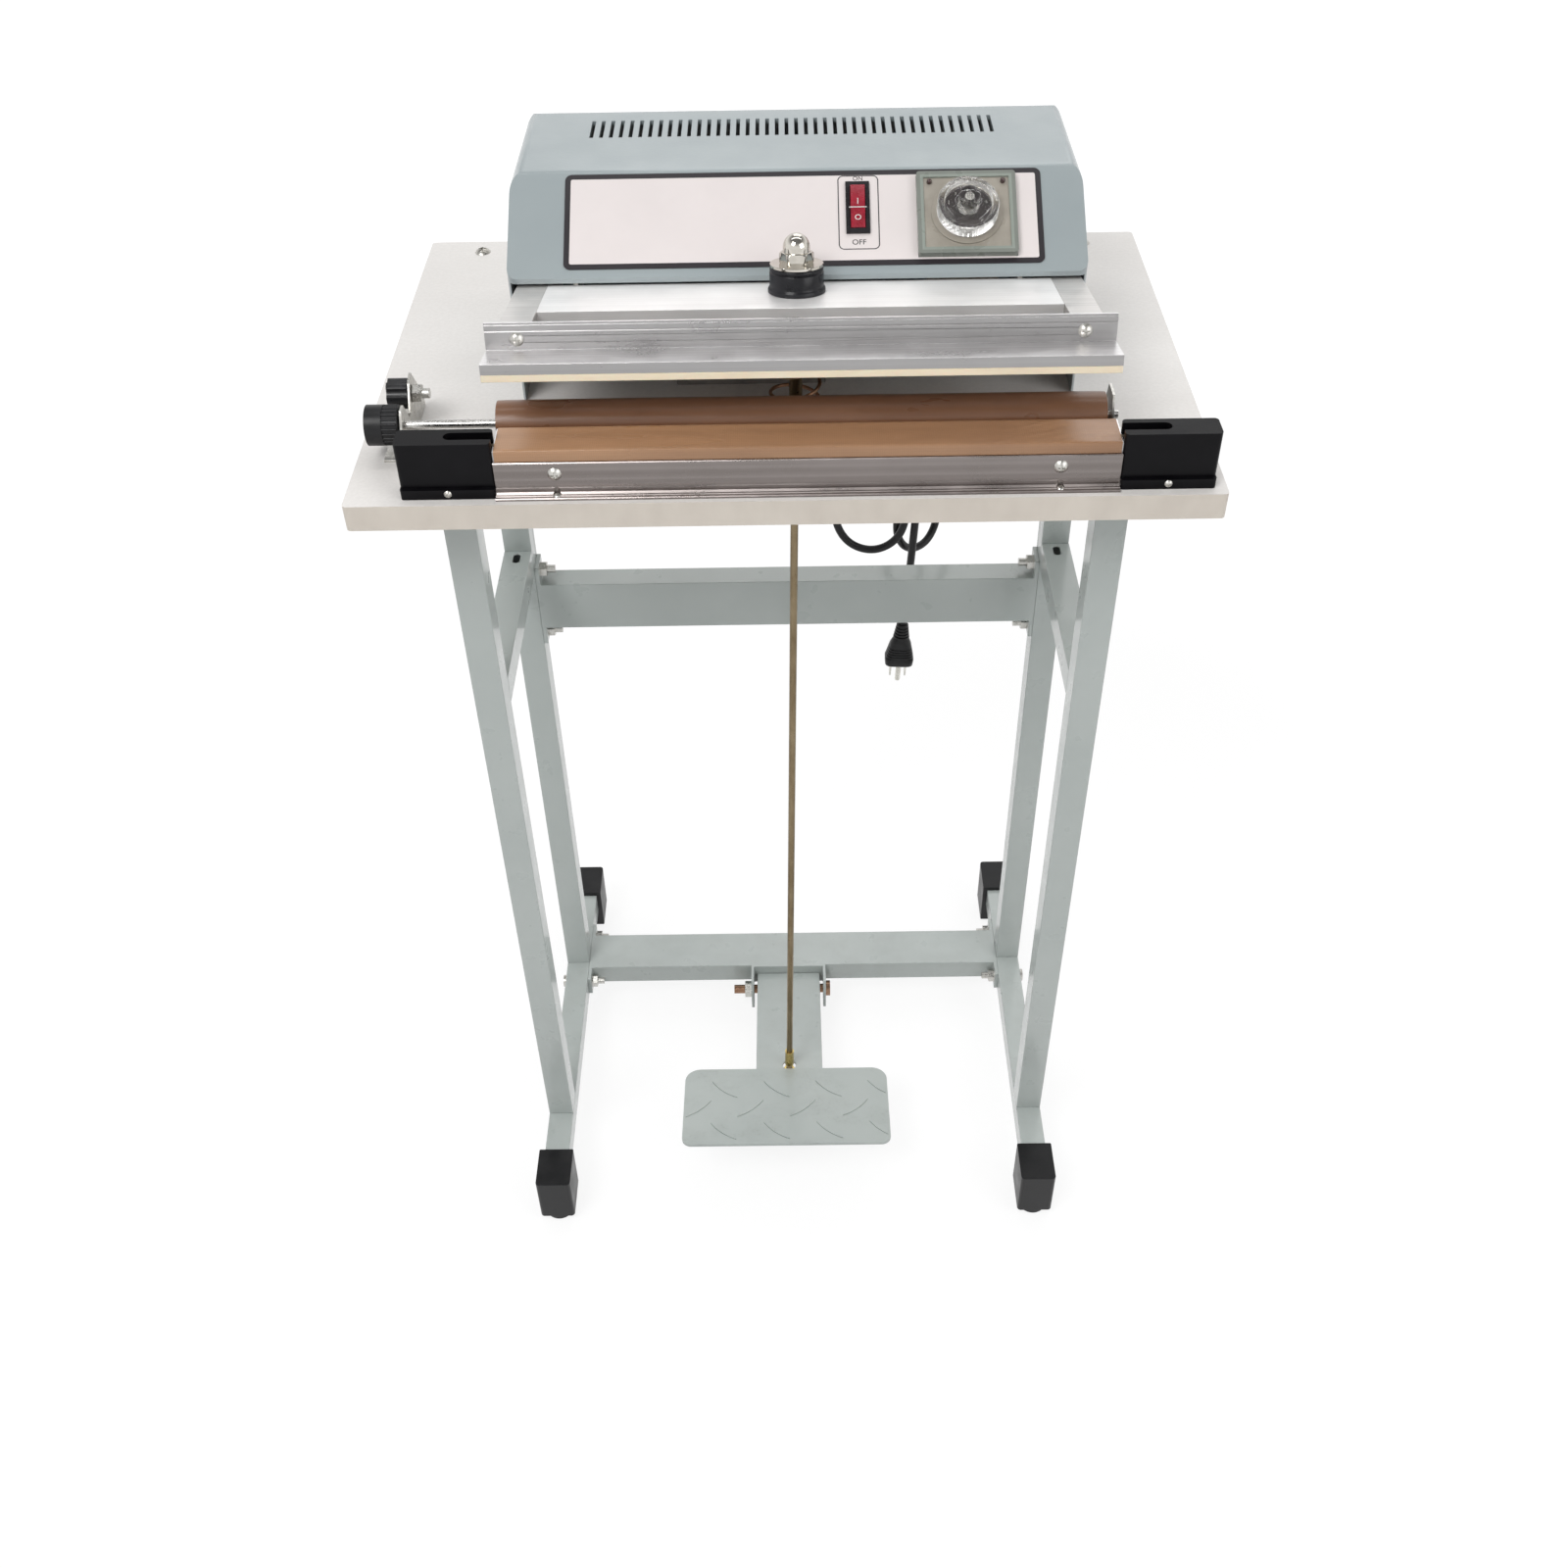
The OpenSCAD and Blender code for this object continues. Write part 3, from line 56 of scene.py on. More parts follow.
eye = at(2.087, -791.143, 508.685)
look_down, look_left, head_tilt = 0.741349, 0.006992, -0.018673
across = Vector((1, 0, 0))
overhead = Vector((0, math.sin(look_down), math.cos(look_down)))
ahead = Vector((0, math.cos(look_down), -math.sin(look_down)))
sideways = math.cos(head_tilt) * across + math.sin(head_tilt) * overhead
upward = math.cos(head_tilt) * overhead - math.sin(head_tilt) * across
aim = Matrix((sideways, upward, -ahead)).transposed()
camera = bpy.data.objects.new("camera", bpy.data.cameras.new("camera"))
camera.data.sensor_width = 36
camera.data.lens = 37.88
camera.data.clip_start, camera.data.clip_end = 0.05, 30
turn_left = Matrix.Rotation(look_left, 3, "Z")
camera.matrix_world = Matrix.Translation(eye) @ (turn_left @ aim).to_4x4()
bpy.context.scene.collection.objects.link(camera)
bpy.context.scene.camera = camera

# ---- Mains cord, its strain relief, its plug and the tie ----
# A round three-core rubber lead. It leaves the back of the housing, drops
# behind the table and hangs in a tied hank above a moulded three-pin plug.


class Tone:
    """One socket of a finish. Arithmetic on it adds Math nodes."""

    def __init__(self, tree, socket=None):
        self.tree, self.socket = tree, socket

    def node(self, kind, values=None, out=0, **settings):
        made = self.tree.nodes.new("ShaderNode" + kind)
        for name, value in settings.items():
            setattr(made, name, value)
        for name, value in (values or {}).items():
            if isinstance(value, Tone):
                self.tree.links.new(value.socket, made.inputs[name])
            else:
                made.inputs[name].default_value = value
        return Tone(self.tree, made.outputs[out])

    def maths(self, operation, *others):
        return self.node("Math", dict(enumerate((self, *others))), operation=operation)

    def __add__(self, other):
        return self.maths("ADD", other)

    def __sub__(self, other):
        return self.maths("SUBTRACT", other)

    def __mul__(self, other):
        return self.maths("MULTIPLY", other)

    def __lt__(self, other):
        return self.maths("LESS_THAN", other)

    def __gt__(self, other):
        return self.maths("GREATER_THAN", other)

    __radd__ = __add__
    __rmul__ = __mul__

    def __rsub__(self, other):
        return self * -1 + other

    def span(self, low, high, to_low=0.0, to_high=1.0):
        return self.node("MapRange", {0: self, 1: low, 2: high, 3: to_low, 4: to_high})

    def mix(self, first, second):
        first, second = ((*c, 1) if isinstance(c, tuple) else c for c in (first, second))
        return self.node("Mix", {0: self, 6: first, 7: second}, out=2, data_type="RGBA")

    def grown(self, x, y, z):
        return self.node("VectorMath", {0: self, 1: (x, y, z)}, operation="MULTIPLY")

    def along(self, x, y, z):
        return self.node("VectorMath", {0: self, 1: (x, y, z)}, "Value", operation="DOT_PRODUCT")

    def cloud(self, scale, detail=3.0, roughness=0.5):
        return self.node("TexNoise", {"Vector": self, "Scale": scale, "Detail": detail,
                                      "Roughness": roughness})

    def from_place(self, place):
        return self.node("VectorMath", {0: self, 1: tuple(place)}, operation="SUBTRACT")

    def bump(self, strength, distance, under=None):
        values = {"Height": self, "Strength": strength, "Distance": distance}
        return self.node("Bump", {**values, "Normal": under} if under else values)


def new_finish(name, **constants):
    """A finish, a socket with the place on the object, and a call that feeds its shader."""
    finish = bpy.data.materials.new(name)
    finish.use_nodes = True
    tree = finish.node_tree
    shader = tree.nodes["Principled BSDF"]
    for socket, value in constants.items():
        shader.inputs[socket.replace("_", " ").title().replace("Ior", "IOR")].default_value = value
    where = Tone(tree).node("TexCoord", out="Object")

    def feed(socket, tone):
        tree.links.new(tone.socket, shader.inputs[socket])

    return finish, where, feed


def moulded(name, dark, light, rough, grain=0.00006, pitch=900, gloss=0.3):
    """Moulded plastic or rubber: a fine grain, faint handling marks and duller patches."""
    finish, where, feed = new_finish(name, specular_ior_level=gloss)
    marks = where.cloud(55, 4)
    feed("Base Color", marks.span(0.35, 0.75).mix(dark, light))
    feed("Roughness", marks.span(0.3, 0.7, rough - 0.06, rough + 0.08))
    feed("Normal", where.cloud(pitch, 2).bump(0.35, grain))
    return finish


def plain_metal(name, dark, light, dullest, shiniest, patches=(120, 4), grain=(300, 3)):
    """Bare or plated metal: a mottled tint and an uneven shine."""
    finish, where, feed = new_finish(name, metallic=1.0)
    feed("Base Color", where.cloud(*patches).span(0.3, 0.7).mix(dark, light))
    feed("Roughness", where.cloud(*grain).span(0.3, 0.7, shiniest, dullest))
    return finish


def new_piece(name, mesh, finish, body="stand", smooth=40, edge=0.0):
    """Adds a mesh to the object as a piece that rides on a body; edge rounds it, in mm."""
    if isinstance(mesh, bmesh.types.BMesh):
        made = bpy.data.meshes.new(name)
        bmesh.ops.recalc_face_normals(mesh, faces=mesh.faces)
        mesh.to_mesh(made)
        mesh.free()
        mesh = made
    piece = bpy.data.objects.new(name, mesh)
    bpy.context.scene.collection.objects.link(piece)
    mesh.materials.append(finish)
    if smooth:
        mesh.shade_smooth()
        mesh.set_sharp_from_angle(angle=math.radians(smooth))
    if edge:
        rim = piece.modifiers.new("edges", "BEVEL")
        rim.width, rim.segments, rim.limit_method = edge / 1000, 3, "ANGLE"
        rim.angle_limit, rim.harden_normals = math.radians(40), True
    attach(piece, body)
    return piece


def ring_mesh(rings, closed_ends=True, into=None):
    """Joins rings of points, each with the same number of points, into one skin."""
    mesh = into or bmesh.new()
    rows = [[mesh.verts.new(point) for point in ring] for ring in rings]
    for lower, upper in zip(rows, rows[1:]):
        for i in range(len(lower)):
            j = (i + 1) % len(lower)
            mesh.faces.new((lower[i], lower[j], upper[j], upper[i]))
    if closed_ends:
        mesh.faces.new(reversed(rows[0]))
        mesh.faces.new(rows[-1])
    return mesh


def box(place, xs, ys, zs, into=None):
    """A block between two limits along each axis of place."""
    corners = ((xs[0], ys[0]), (xs[1], ys[0]), (xs[1], ys[1]), (xs[0], ys[1]))
    return ring_mesh([[place @ Vector((x, y, z)) for x, y in corners] for z in zs], into=into)


def turned(profile, place, sides=64, into=None, closed_ends=True):
    """A turned form: (radius, height) pairs in mm about the z axis of place."""
    turns = [2 * math.pi * k / sides for k in range(sides)]
    return ring_mesh([[place @ Vector((r * math.cos(a) / 1000, r * math.sin(a) / 1000, h / 1000))
                       for a in turns] for r, h in profile], closed_ends, into)


def tube(points, radius, sides):
    """A round tube along points, in metres, without twist."""
    side, rings = Vector((1, 0, 0)), []
    for i, point in enumerate(points):
        along = (points[min(i + 1, len(points) - 1)] - points[max(i - 1, 0)]).normalized()
        side = (side - side.dot(along) * along).normalized()
        other = along.cross(side)
        rings.append([point + radius * (math.cos(a) * side + math.sin(a) * other)
                      for a in (2 * math.pi * k / sides for k in range(sides))])
    return ring_mesh(rings)


rubber = moulded("cord_rubber", (0.005, 0.005, 0.0055), (0.012, 0.012, 0.013), 0.36, 0.00004, 700)
cord_width = 6.5
cord_route = [
    (95, 297, 22), (95, 320.5, 24), (95.5, 332.5, 24), (96.5, 343, 21), (98.5, 352.5, 15.5),
    (100.5, 359.5, 7), (102.5, 364.5, -2.5), (104.5, 367.5, -13.5), (106.5, 369, -27.5),
    (109, 369, -49.5), (111.5, 368, -77), (112.5, 367.5, -104.5), (113, 367, -132),
    (113, 367.5, -159.5), (112.5, 369, -182), (113, 371.5, -199), (115, 375, -213.5),
    (118.5, 380, -229), (123.5, 385, -245), (126.5, 387, -256), (127, 386, -267),
    (124, 382.5, -277), (118.5, 376.5, -284), (110, 369.5, -286), (101.5, 363.5, -282.5),
    (95.5, 359.5, -274.5), (91.5, 357.5, -264), (91, 358, -253), (92.5, 359, -234.5),
    (94, 360.5, -212), (93.5, 361, -191.5), (91.5, 361.5, -173), (89, 361.5, -160),
    (84.5, 361, -150), (77.5, 360, -141), (68.5, 358, -135.5), (57.5, 356, -134.5),
    (47, 354, -138), (39, 352.5, -145.5), (34.5, 352, -155.5), (32.5, 351.5, -166.5),
    (33, 352, -181), (35, 353, -206), (38, 353.5, -232.5), (40.5, 353, -247), (44, 352.5, -257.5),
    (50.5, 352, -267), (59.5, 351, -272.5), (70.5, 350, -274.5), (81, 349.5, -271.5),
    (89.5, 349, -264.5), (95, 349, -255), (97.5, 349, -244), (98, 349, -229.5), (97, 349, -208.5),
    (94.5, 349, -190.5), (89.5, 349, -171), (83.5, 349, -151), (82, 349, -139.5),
    (83.5, 349, -129), (88, 349, -119), (97, 349, -112), (107.5, 349, -109.5), (118.5, 349, -112),
    (127, 349, -119), (131.5, 349.5, -129), (132.5, 349.5, -140), (130.5, 349.5, -150.5),
    (124.5, 350, -166.5), (115, 350.5, -188), (110.5, 351.5, -203), (108, 352, -218.5),
    (106, 352.5, -242.5), (104.5, 351.5, -270), (103, 351.5, -297.5), (101, 352, -324.5),
    (99, 352, -352),
]
curve = bpy.data.curves.new("mains_cord", "CURVE")
curve.dimensions = "3D"
curve.resolution_u = 5
curve.bevel_depth = cord_width / 2000
curve.bevel_resolution = 6
curve.use_fill_caps = True
line = curve.splines.new("NURBS")
line.points.add(len(cord_route) - 1)
for knot, place in zip(line.points, cord_route):
    knot.co = (*at(*place), 1)
line.order_u, line.use_endpoint_u = 4, True
mains_cord = new_piece("mains_cord", curve, rubber, smooth=False)
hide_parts("power_cord")

# The relief: a flange against the sheet, then seven rings on a taper.
outward = Matrix.Translation(at(95, 273, 22)) @ Matrix.Rotation(-math.pi / 2, 4, "X")
profile = [(5.5, -2), (5.5, 0), (7.6, 0), (8, 0.4), (8, 2.6), (7.6, 3), (6.2, 3.2)]
for i in range(7):
    r, h, groove = 6 - 0.22 * i, 2.7 * i, 0.9
    profile += [(r - groove, 4 + h), (r - groove, 4.7 + h), (r, 5 + h), (r, 6.4 + h)]
profile += [(4.4, 23.2), (3.9, 24)]
relief = new_piece("cord_relief", turned(profile, outward), rubber)
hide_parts("strain_relief")

# The plug: a ringed neck, a waisted grip with finger ribs, and a flat face with three pins.
down = Matrix.Translation(at(*cord_route[-1])) @ Matrix.Rotation(math.radians(3), 4, "Y")


def plug_ring(z, w, d, square):
    """A ring round the plug, wide and deep in mm; a smaller square makes it boxier."""
    ring = []
    for k in range(48):
        a = 2 * math.pi * k / 48
        c, s = math.cos(a), math.sin(a)
        x = math.copysign(abs(c) ** square, c) * w / 2
        y = math.copysign(abs(s) ** square, s) * d / 2
        ring.append(down @ Vector((x / 1000, y / 1000, z / 1000)))
    return ring


rings = [plug_ring(0, 8.4, 8.4, 1)]
for i in range(5):
    z, w = -0.8 - 2.9 * i, 10.2 + 0.9 * i
    rings += [plug_ring(z, w, 9.6 + 0.7 * i, 1),
              plug_ring(z - 1.5, w + 0.4, 9.9 + 0.7 * i, 1),
              plug_ring(z - 1.9, w - 1.5, 8.6 + 0.6 * i, 1),
              plug_ring(z - 2.5, w - 1.4, 8.7 + 0.6 * i, 1)]
rings += [plug_ring(-16, 14.6, 12.6, 0.95), plug_ring(-20, 18, 14, 0.8)]
for i in range(5):
    z, w, d = -22.5 - 2.4 * i, 19.2 + 1.1 * i, 14.4 + 0.5 * i
    rings += [plug_ring(z, w, d, 0.62),
              plug_ring(z - 1.3, w + 0.4, d + 0.1, 0.62),
              plug_ring(z - 1.6, w - 0.7, d - 0.9, 0.62),
              plug_ring(z - 2.1, w - 0.4, d - 0.8, 0.62)]
rings += [plug_ring(-35, 24.6, 16.8, 0.5), plug_ring(-36, 25, 17, 0.45),
          plug_ring(-41.4, 24.2, 16.2, 0.45), plug_ring(-42, 23.4, 15.4, 0.45)]
plug = new_piece("mains_plug", ring_mesh(rings), rubber, smooth=35)
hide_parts("power_plug")

nickel = plain_metal("nickel", (0.62, 0.60, 0.55), (0.78, 0.76, 0.71), 0.34, 0.18,
                     patches=(160, 3), grain=(300, 4))
pins = bmesh.new()
for side in (-6.5, 6.5):
    rings = []
    for z, w, d in ((-41, 1.5, 6.4), (-55.5, 1.5, 6.4), (-57, 0.9, 5.2)):
        rings.append([down @ Vector(((side + x * w / 2) / 1000, (2 + y * d / 2) / 1000, z / 1000))
                      for x, y in ((-1, -1), (1, -1), (1, 1), (-1, 1))])
    ring_mesh(rings, into=pins)
earth_pin = down @ Matrix.Translation((0, -0.0042, 0))
turned([(2.3, -41), (2.3, -57), (1.9, -58.3), (1, -59)], earth_pin, 32, pins)
plug_pins = new_piece("plug_pins", pins, nickel, edge=0.2)

# The tie: a thin strap drawn round the four strands at the middle of the hank.
tie_line = [
    (90.3, 360.7), (93.2, 348.1), (93.8, 346.9), (94.8, 346), (96, 345.6), (110.7, 348.2),
    (111.9, 348.6), (112.9, 349.5), (113.5, 350.7), (117.2, 372.4), (117.1, 373.8),
    (116.5, 375), (115.5, 375.9), (114.3, 376.3), (112.9, 376.2), (92.1, 363.7), (91.1, 362.8),
    (90.5, 361.6),
]
hank_waist = -205
half_width, thickness = Vector((0, 0, 0.0019)), 0.0011
rows = []
for x, y in tie_line:
    inner = at(x, y, hank_waist)
    outer = inner + (inner - at(103, 361, hank_waist)).normalized() * thickness
    rows.append([inner + half_width, inner - half_width, outer - half_width, outer + half_width])
strap = ring_mesh([*rows, rows[0]], closed_ends=False)
bmesh.ops.remove_doubles(strap, verts=strap.verts, dist=1e-6)
cord_tie = new_piece("cord_tie", strap, rubber, smooth=50, edge=0.2)

# ---- Table top ----
# A board faced with off-white laminate, its edges covered by a cream band.
# It is bolted to two flat bars under it; the pull rod passes through a hole.


crease = math.radians(32)


def smoothing_nodes():
    """Welds a mesh and smooths it, except over its creases."""
    group = bpy.data.node_groups.new("soft_edges", "GeometryNodeTree")
    for way in ("INPUT", "OUTPUT"):
        group.interface.new_socket("Geometry", in_out=way, socket_type="NodeSocketGeometry")
    chain = [group.nodes.new(kind) for kind in (
        "NodeGroupInput", "GeometryNodeMergeByDistance", "GeometryNodeRemoveAttribute",
        "GeometryNodeSetShadeSmooth", "GeometryNodeSetShadeSmooth", "NodeGroupOutput")]
    weld, forget, by_edge = chain[1], chain[2], chain[4]
    weld.inputs["Distance"].default_value = 0.00001
    forget.inputs["Name"].default_value = "custom_normal"
    by_edge.domain = "EDGE"
    for first, second in zip(chain, chain[1:]):
        group.links.new(first.outputs[0], second.inputs[0])
    bend = group.nodes.new("GeometryNodeInputMeshEdgeAngle")
    flat = group.nodes.new("FunctionNodeCompare")
    flat.operation = "LESS_THAN"
    flat.inputs["B"].default_value = crease
    group.links.new(bend.outputs["Unsigned Angle"], flat.inputs["A"])
    group.links.new(flat.outputs[0], by_edge.inputs["Shade Smooth"])
    return group


soft_edges = smoothing_nodes()


def dress(finish, *nodes, edge=0.4):
    """Gives pieces of the frame a finish, smooth curves and rounded edges, edge in mm."""
    for node in nodes:
        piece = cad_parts[node]
        for place in piece.material_slots:
            place.material = finish
        piece.modifiers.new("soft_edges", "NODES").node_group = soft_edges
        if edge:
            rim = piece.modifiers.new("rounded_edges", "BEVEL")
            rim.width, rim.segments, rim.limit_method = edge / 1000, 2, "ANGLE"
            rim.angle_limit, rim.harden_normals = crease, True


laminate, where, feed = new_finish("laminate", specular_ior_level=0.5)
side_on = where.node("TexCoord", out="Normal").along(0, 0, 1).maths("ABSOLUTE") < 0.6
flecks = where.cloud(420, 2, 0.6).span(0.35, 0.72)
smears = where.grown(1, 2.2, 1).cloud(7, 5, 0.62).span(0.30, 0.75)
top = flecks.mix((0.745, 0.722, 0.698), (0.795, 0.772, 0.748))
top = (smears * 0.35).mix(top, (0.66, 0.637, 0.61))
band = where.grown(2, 2, 1).cloud(30, 4).span(0.3, 0.7).mix((0.66, 0.60, 0.53), (0.72, 0.66, 0.585))
feed("Base Color", side_on.mix(top, band))
feed("Roughness", smears.span(0, 1, 0.30, 0.46))
feed("Normal", where.cloud(900, 2).bump(0.25, 0.00005))
dress(laminate, "table_top", edge=1.0)

# ---- Stand ----
# Square steel tube, welded and bolted, in a pale grey-green enamel that has
# a slight orange peel. The cross beams have an end plate bolted to each leg.
enamel, where, feed = new_finish("enamel", specular_ior_level=0.5, coat_weight=0.5,
                                 coat_roughness=0.1)
broad = where.cloud(9, 4, 0.6).span(0.3, 0.7)
scuffs = where.grown(1, 1, 0.35).cloud(85, 6, 0.72).span(0.64, 0.74)
low = where.along(0, 0, 1).span(0.0, 0.22, 1.0, 0.0)
tint = broad.mix((0.435, 0.478, 0.462), (0.485, 0.525, 0.508))
tint = (where.cloud(40, 5, 0.65).span(0.45, 0.8) * low * 0.3).mix(tint, (0.30, 0.31, 0.29))
tint = (scuffs * 0.22).mix(tint, (0.27, 0.29, 0.275))
feed("Base Color", tint)
feed("Roughness", where.cloud(60, 3).span(0.3, 0.7, 0.26, 0.38) + scuffs * 0.2)
feed("Normal", where.cloud(230, 2).bump(0.16, 0.0003))
dress(enamel, "left_front_leg", "right_front_leg", "left_rear_leg", "right_rear_leg",
      "left_foot_rail", "right_foot_rail", "side_rails", "upper_beam", "lower_beam", edge=0.7)
dress(enamel, "top_bars", edge=0.4)

# ---- Foot caps ----
# Black moulded caps pushed over the ends of the foot rails, with a flange
# and a round pad that stands on the floor.
caps = moulded("cap_plastic", (0.008, 0.008, 0.009), (0.018, 0.018, 0.019), 0.36)
dress(caps, "front_left_cap", "front_right_cap", "rear_left_cap", "rear_right_cap", edge=1.2)

# ---- Frame fasteners ----
# Zinc-plated hexagon bolts and nuts through the legs and the table board.
zinc, where, feed = new_finish("zinc_plate", metallic=1.0)
spangle = where.cloud(500, 3, 0.6).span(0.3, 0.7)
stain = where.cloud(70, 5, 0.7).span(0.5, 0.75)
feed("Base Color", (stain * 0.6).mix(spangle.mix((0.50, 0.49, 0.46), (0.66, 0.65, 0.62)),
                                     (0.36, 0.33, 0.27)))
feed("Roughness", where.cloud(260, 4).span(0.3, 0.7, 0.24, 0.42))
feed("Normal", where.cloud(1400, 2).bump(0.3, 0.00004))
dress(zinc, "frame_fasteners", edge=0.4)

# ---- Pedal ----
# A folded sheet arm on a bolt through two ears, with a foot plate of raised
# leaves on its front end. All in a pale enamel, rubbed where feet rest.
dress(enamel, "pedal_bracket", "pedal_arm", edge=0.5)
tread, where, feed = new_finish("tread", specular_ior_level=0.5, coat_weight=0.2,
                                coat_roughness=0.15)
rubbed = where.grown(1, 1.4, 1).cloud(22, 6, 0.7).span(0.48, 0.72)
grit = where.cloud(330, 4, 0.7).span(0.52, 0.72)
tint = where.cloud(12, 4).span(0.3, 0.7).mix((0.42, 0.465, 0.448), (0.48, 0.52, 0.50))
tint = (grit * rubbed * 0.6).mix(tint, (0.22, 0.225, 0.21))
feed("Base Color", (rubbed * 0.25).mix(tint, (0.33, 0.345, 0.33)))
feed("Roughness", rubbed.span(0, 1, 0.30, 0.5))
feed("Normal", where.cloud(260, 2).bump(0.15, 0.0003))
dress(tread, "pedal_plate", edge=0.45)
coppery, where, feed = new_finish("dark_passivate", metallic=1.0)
hue = where.cloud(120, 4).span(0.3, 0.7)
nut_middle, nut_half = -0.041, 0.0033
on_nut = where.along(1, 0, 0).maths("COMPARE", nut_middle, nut_half)
feed("Base Color", on_nut.mix(hue.mix((0.23, 0.125, 0.08), (0.36, 0.23, 0.15)),
                              hue.mix((0.42, 0.42, 0.39), (0.60, 0.60, 0.57))))
feed("Roughness", where.cloud(400, 4).span(0.3, 0.7, 0.22, 0.4))
feed("Normal", where.grown(1500, 60, 60).cloud(1, 2).bump(0.3, 0.00004))
dress(coppery, "pedal_pivot_bolt", edge=0.4)

# ---- Press frame ----
# Two square aluminium arms on a hinge shaft carry a flat channel and the
# upper jaw, an extrusion with a T of silicone in it, held by two screws.


def drawn(name, dark, light, rough, scratch=0.5, metal=1.0, shade=1.0):
    """Extruded aluminium: lines along x from the die, dull patches and small dents.

    The upright faces are painted darker by shade: painted shade, as they catch less light than
    faces that lie flat.
    """
    finish, where, feed = new_finish(name, metallic=metal)
    # Painted shade: faces that stand upright are darkened by shade, faces that lie flat keep the
    # full colour.
    facing_up = where.node("TexCoord", out="Normal").along(0, 0, 1).maths("ABSOLUTE")
    level = facing_up.span(0.35, 0.75, shade, 1)
    lines = where.grown(0.5, 420, 420).cloud(1, 2, 0.6)
    fine = where.grown(5, 1500, 1500).cloud(1, 1, 0.6)
    dull = where.grown(1, 2, 2).cloud(24, 5, 0.65)
    dents = where.cloud(420, 3, 0.7).span(0.70, 0.80)
    tint = (lines * 0.6 + dull * 0.4).span(0.36, 0.64).mix(dark, light)
    tint = (dents * 0.3).mix(tint, tuple(0.6 * c for c in dark))
    feed("Base Color", tint.node("VectorMath", {0: tint, "Scale": level}, operation="SCALE"))
    feed("Roughness", dull.span(0.3, 0.7, rough - 0.07, rough + 0.1) + fine * 0.08)
    feed("Normal", fine.bump(0.4 * scratch, 0.00005, lines.bump(scratch, 0.00004)))
    return finish


# The shade of each aluminium below paints its upright faces darker: painted shade.
satin = drawn("satin_aluminium", (0.64, 0.62, 0.60), (0.76, 0.74, 0.72), 0.34,
              metal=0.8, shade=0.8)
dress(satin, "left_arm", "right_arm", edge=0.35)
sheet_metal = drawn("channel_aluminium", (0.90, 0.89, 0.88), (0.97, 0.96, 0.95), 0.36,
                    metal=0.5, shade=0.8)
dress(sheet_metal, "press_channel", edge=0.35)
jaw_metal = drawn("jaw_aluminium", (0.80, 0.785, 0.785), (0.93, 0.915, 0.915), 0.27,
                  scratch=0.9, shade=0.42)
dress(jaw_metal, "upper_jaw", edge=0.25)
dress(zinc, "jaw_screws", "hinge_brackets", edge=0.2)
steel = plain_metal("bright_steel", (0.52, 0.51, 0.49), (0.66, 0.65, 0.63), 0.34, 0.2,
                    patches=(90, 4), grain=(500, 3))
dress(steel, "hinge_shaft", edge=0.3)

silicone, where, feed = new_finish("silicone", specular_ior_level=0.4, subsurface_weight=0.15,
                                   subsurface_scale=0.003)
soot = where.grown(1, 5, 5).cloud(30, 6, 0.7).span(0.45, 0.78)
feed("Base Color", (soot * 0.5).mix((0.88, 0.76, 0.58), (0.70, 0.57, 0.40)))
feed("Roughness", where.cloud(70).span(0.3, 0.7, 0.42, 0.58))
feed("Normal", where.cloud(700).bump(0.25, 0.00006))
dress(silicone, "silicone_strip", edge=0.5)

# The bush and the acorn nut stand on the channel, leaning back as far as the
# press stands open.
open_angle = math.radians(10.7)
hinge_y, hinge_z = 228, 45
hinge = at(0, hinge_y, hinge_z)
lean = Matrix.Rotation(-open_angle, 4, "X")
seat = Matrix.Translation(hinge) @ lean @ Matrix.Translation(at(8.5, 91, 54) - hinge)
bush_rubber = moulded("bush_rubber", (0.006, 0.006, 0.008), (0.014, 0.014, 0.018), 0.30)
bush_profile = [
    (8, 0), (16.2, 0), (16.5, 0.3), (16.5, 1.9), (16.2, 2.6), (15.6, 3.2), (15.5, 4), (15.5, 11),
    (15.3, 11.4), (14.95, 11.7), (15.0, 12.0), (15.3, 12.3), (15.35, 13.6), (15.1, 14.1),
    (14.5, 14.4), (8, 14.5),
]
bush = new_piece("press_bush", turned(bush_profile, seat, 96, closed_ends=False), bush_rubber,
                 "press_frame")
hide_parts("rubber_bush")
chrome, where, feed = new_finish("chrome", metallic=1.0)
feed("Base Color", where.cloud(60, 3).span(0.3, 0.7).mix((0.52, 0.49, 0.44), (0.70, 0.67, 0.61)))
feed("Roughness", where.cloud(240, 5, 0.7).span(0.35, 0.75, 0.06, 0.18))
feed("Normal", where.cloud(190, 2).bump(0.08, 0.0002))
washer = [(1, 14.5), (15.1, 14.5), (15.25, 14.6), (15.25, 15.8), (15.05, 16), (1, 16)]
nut = turned(washer, seat, 96)
half_flats = 8.65
rings = []
for h, limit in ((16, 9.35), (16.7, 10), (21.4, 10), (22.2, 9.0), (22.5, 8.0)):
    ring = []
    for k in range(96):
        a = 2 * math.pi * (k + 0.5) / 96
        r = min(half_flats / math.cos(a % (math.pi / 3) - math.pi / 6), limit)
        ring.append(seat @ Vector((r * math.cos(a) / 1000, r * math.sin(a) / 1000, h / 1000)))
    rings.append(ring)
ring_mesh(rings, into=nut)
dome_r, dome_h = 7.75, 24.75
dome = [(dome_r, 22.3), (dome_r, dome_h)]
for k in range(1, 12):
    a = math.radians(7.9 * k)
    dome.append((dome_r * math.cos(a), dome_h + dome_r * math.sin(a)))
turned([*dome, (0.2, 32.5)], seat, 96, nut)
acorn = new_piece("acorn", nut, chrome, "press_frame", smooth=28)
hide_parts("acorn_nut")

# The return spring: copper-coloured wire between the table and the channel.
coppered = plain_metal("coppered_wire", (0.34, 0.19, 0.11), (0.55, 0.33, 0.21), 0.42, 0.24,
                       patches=(130, 4))
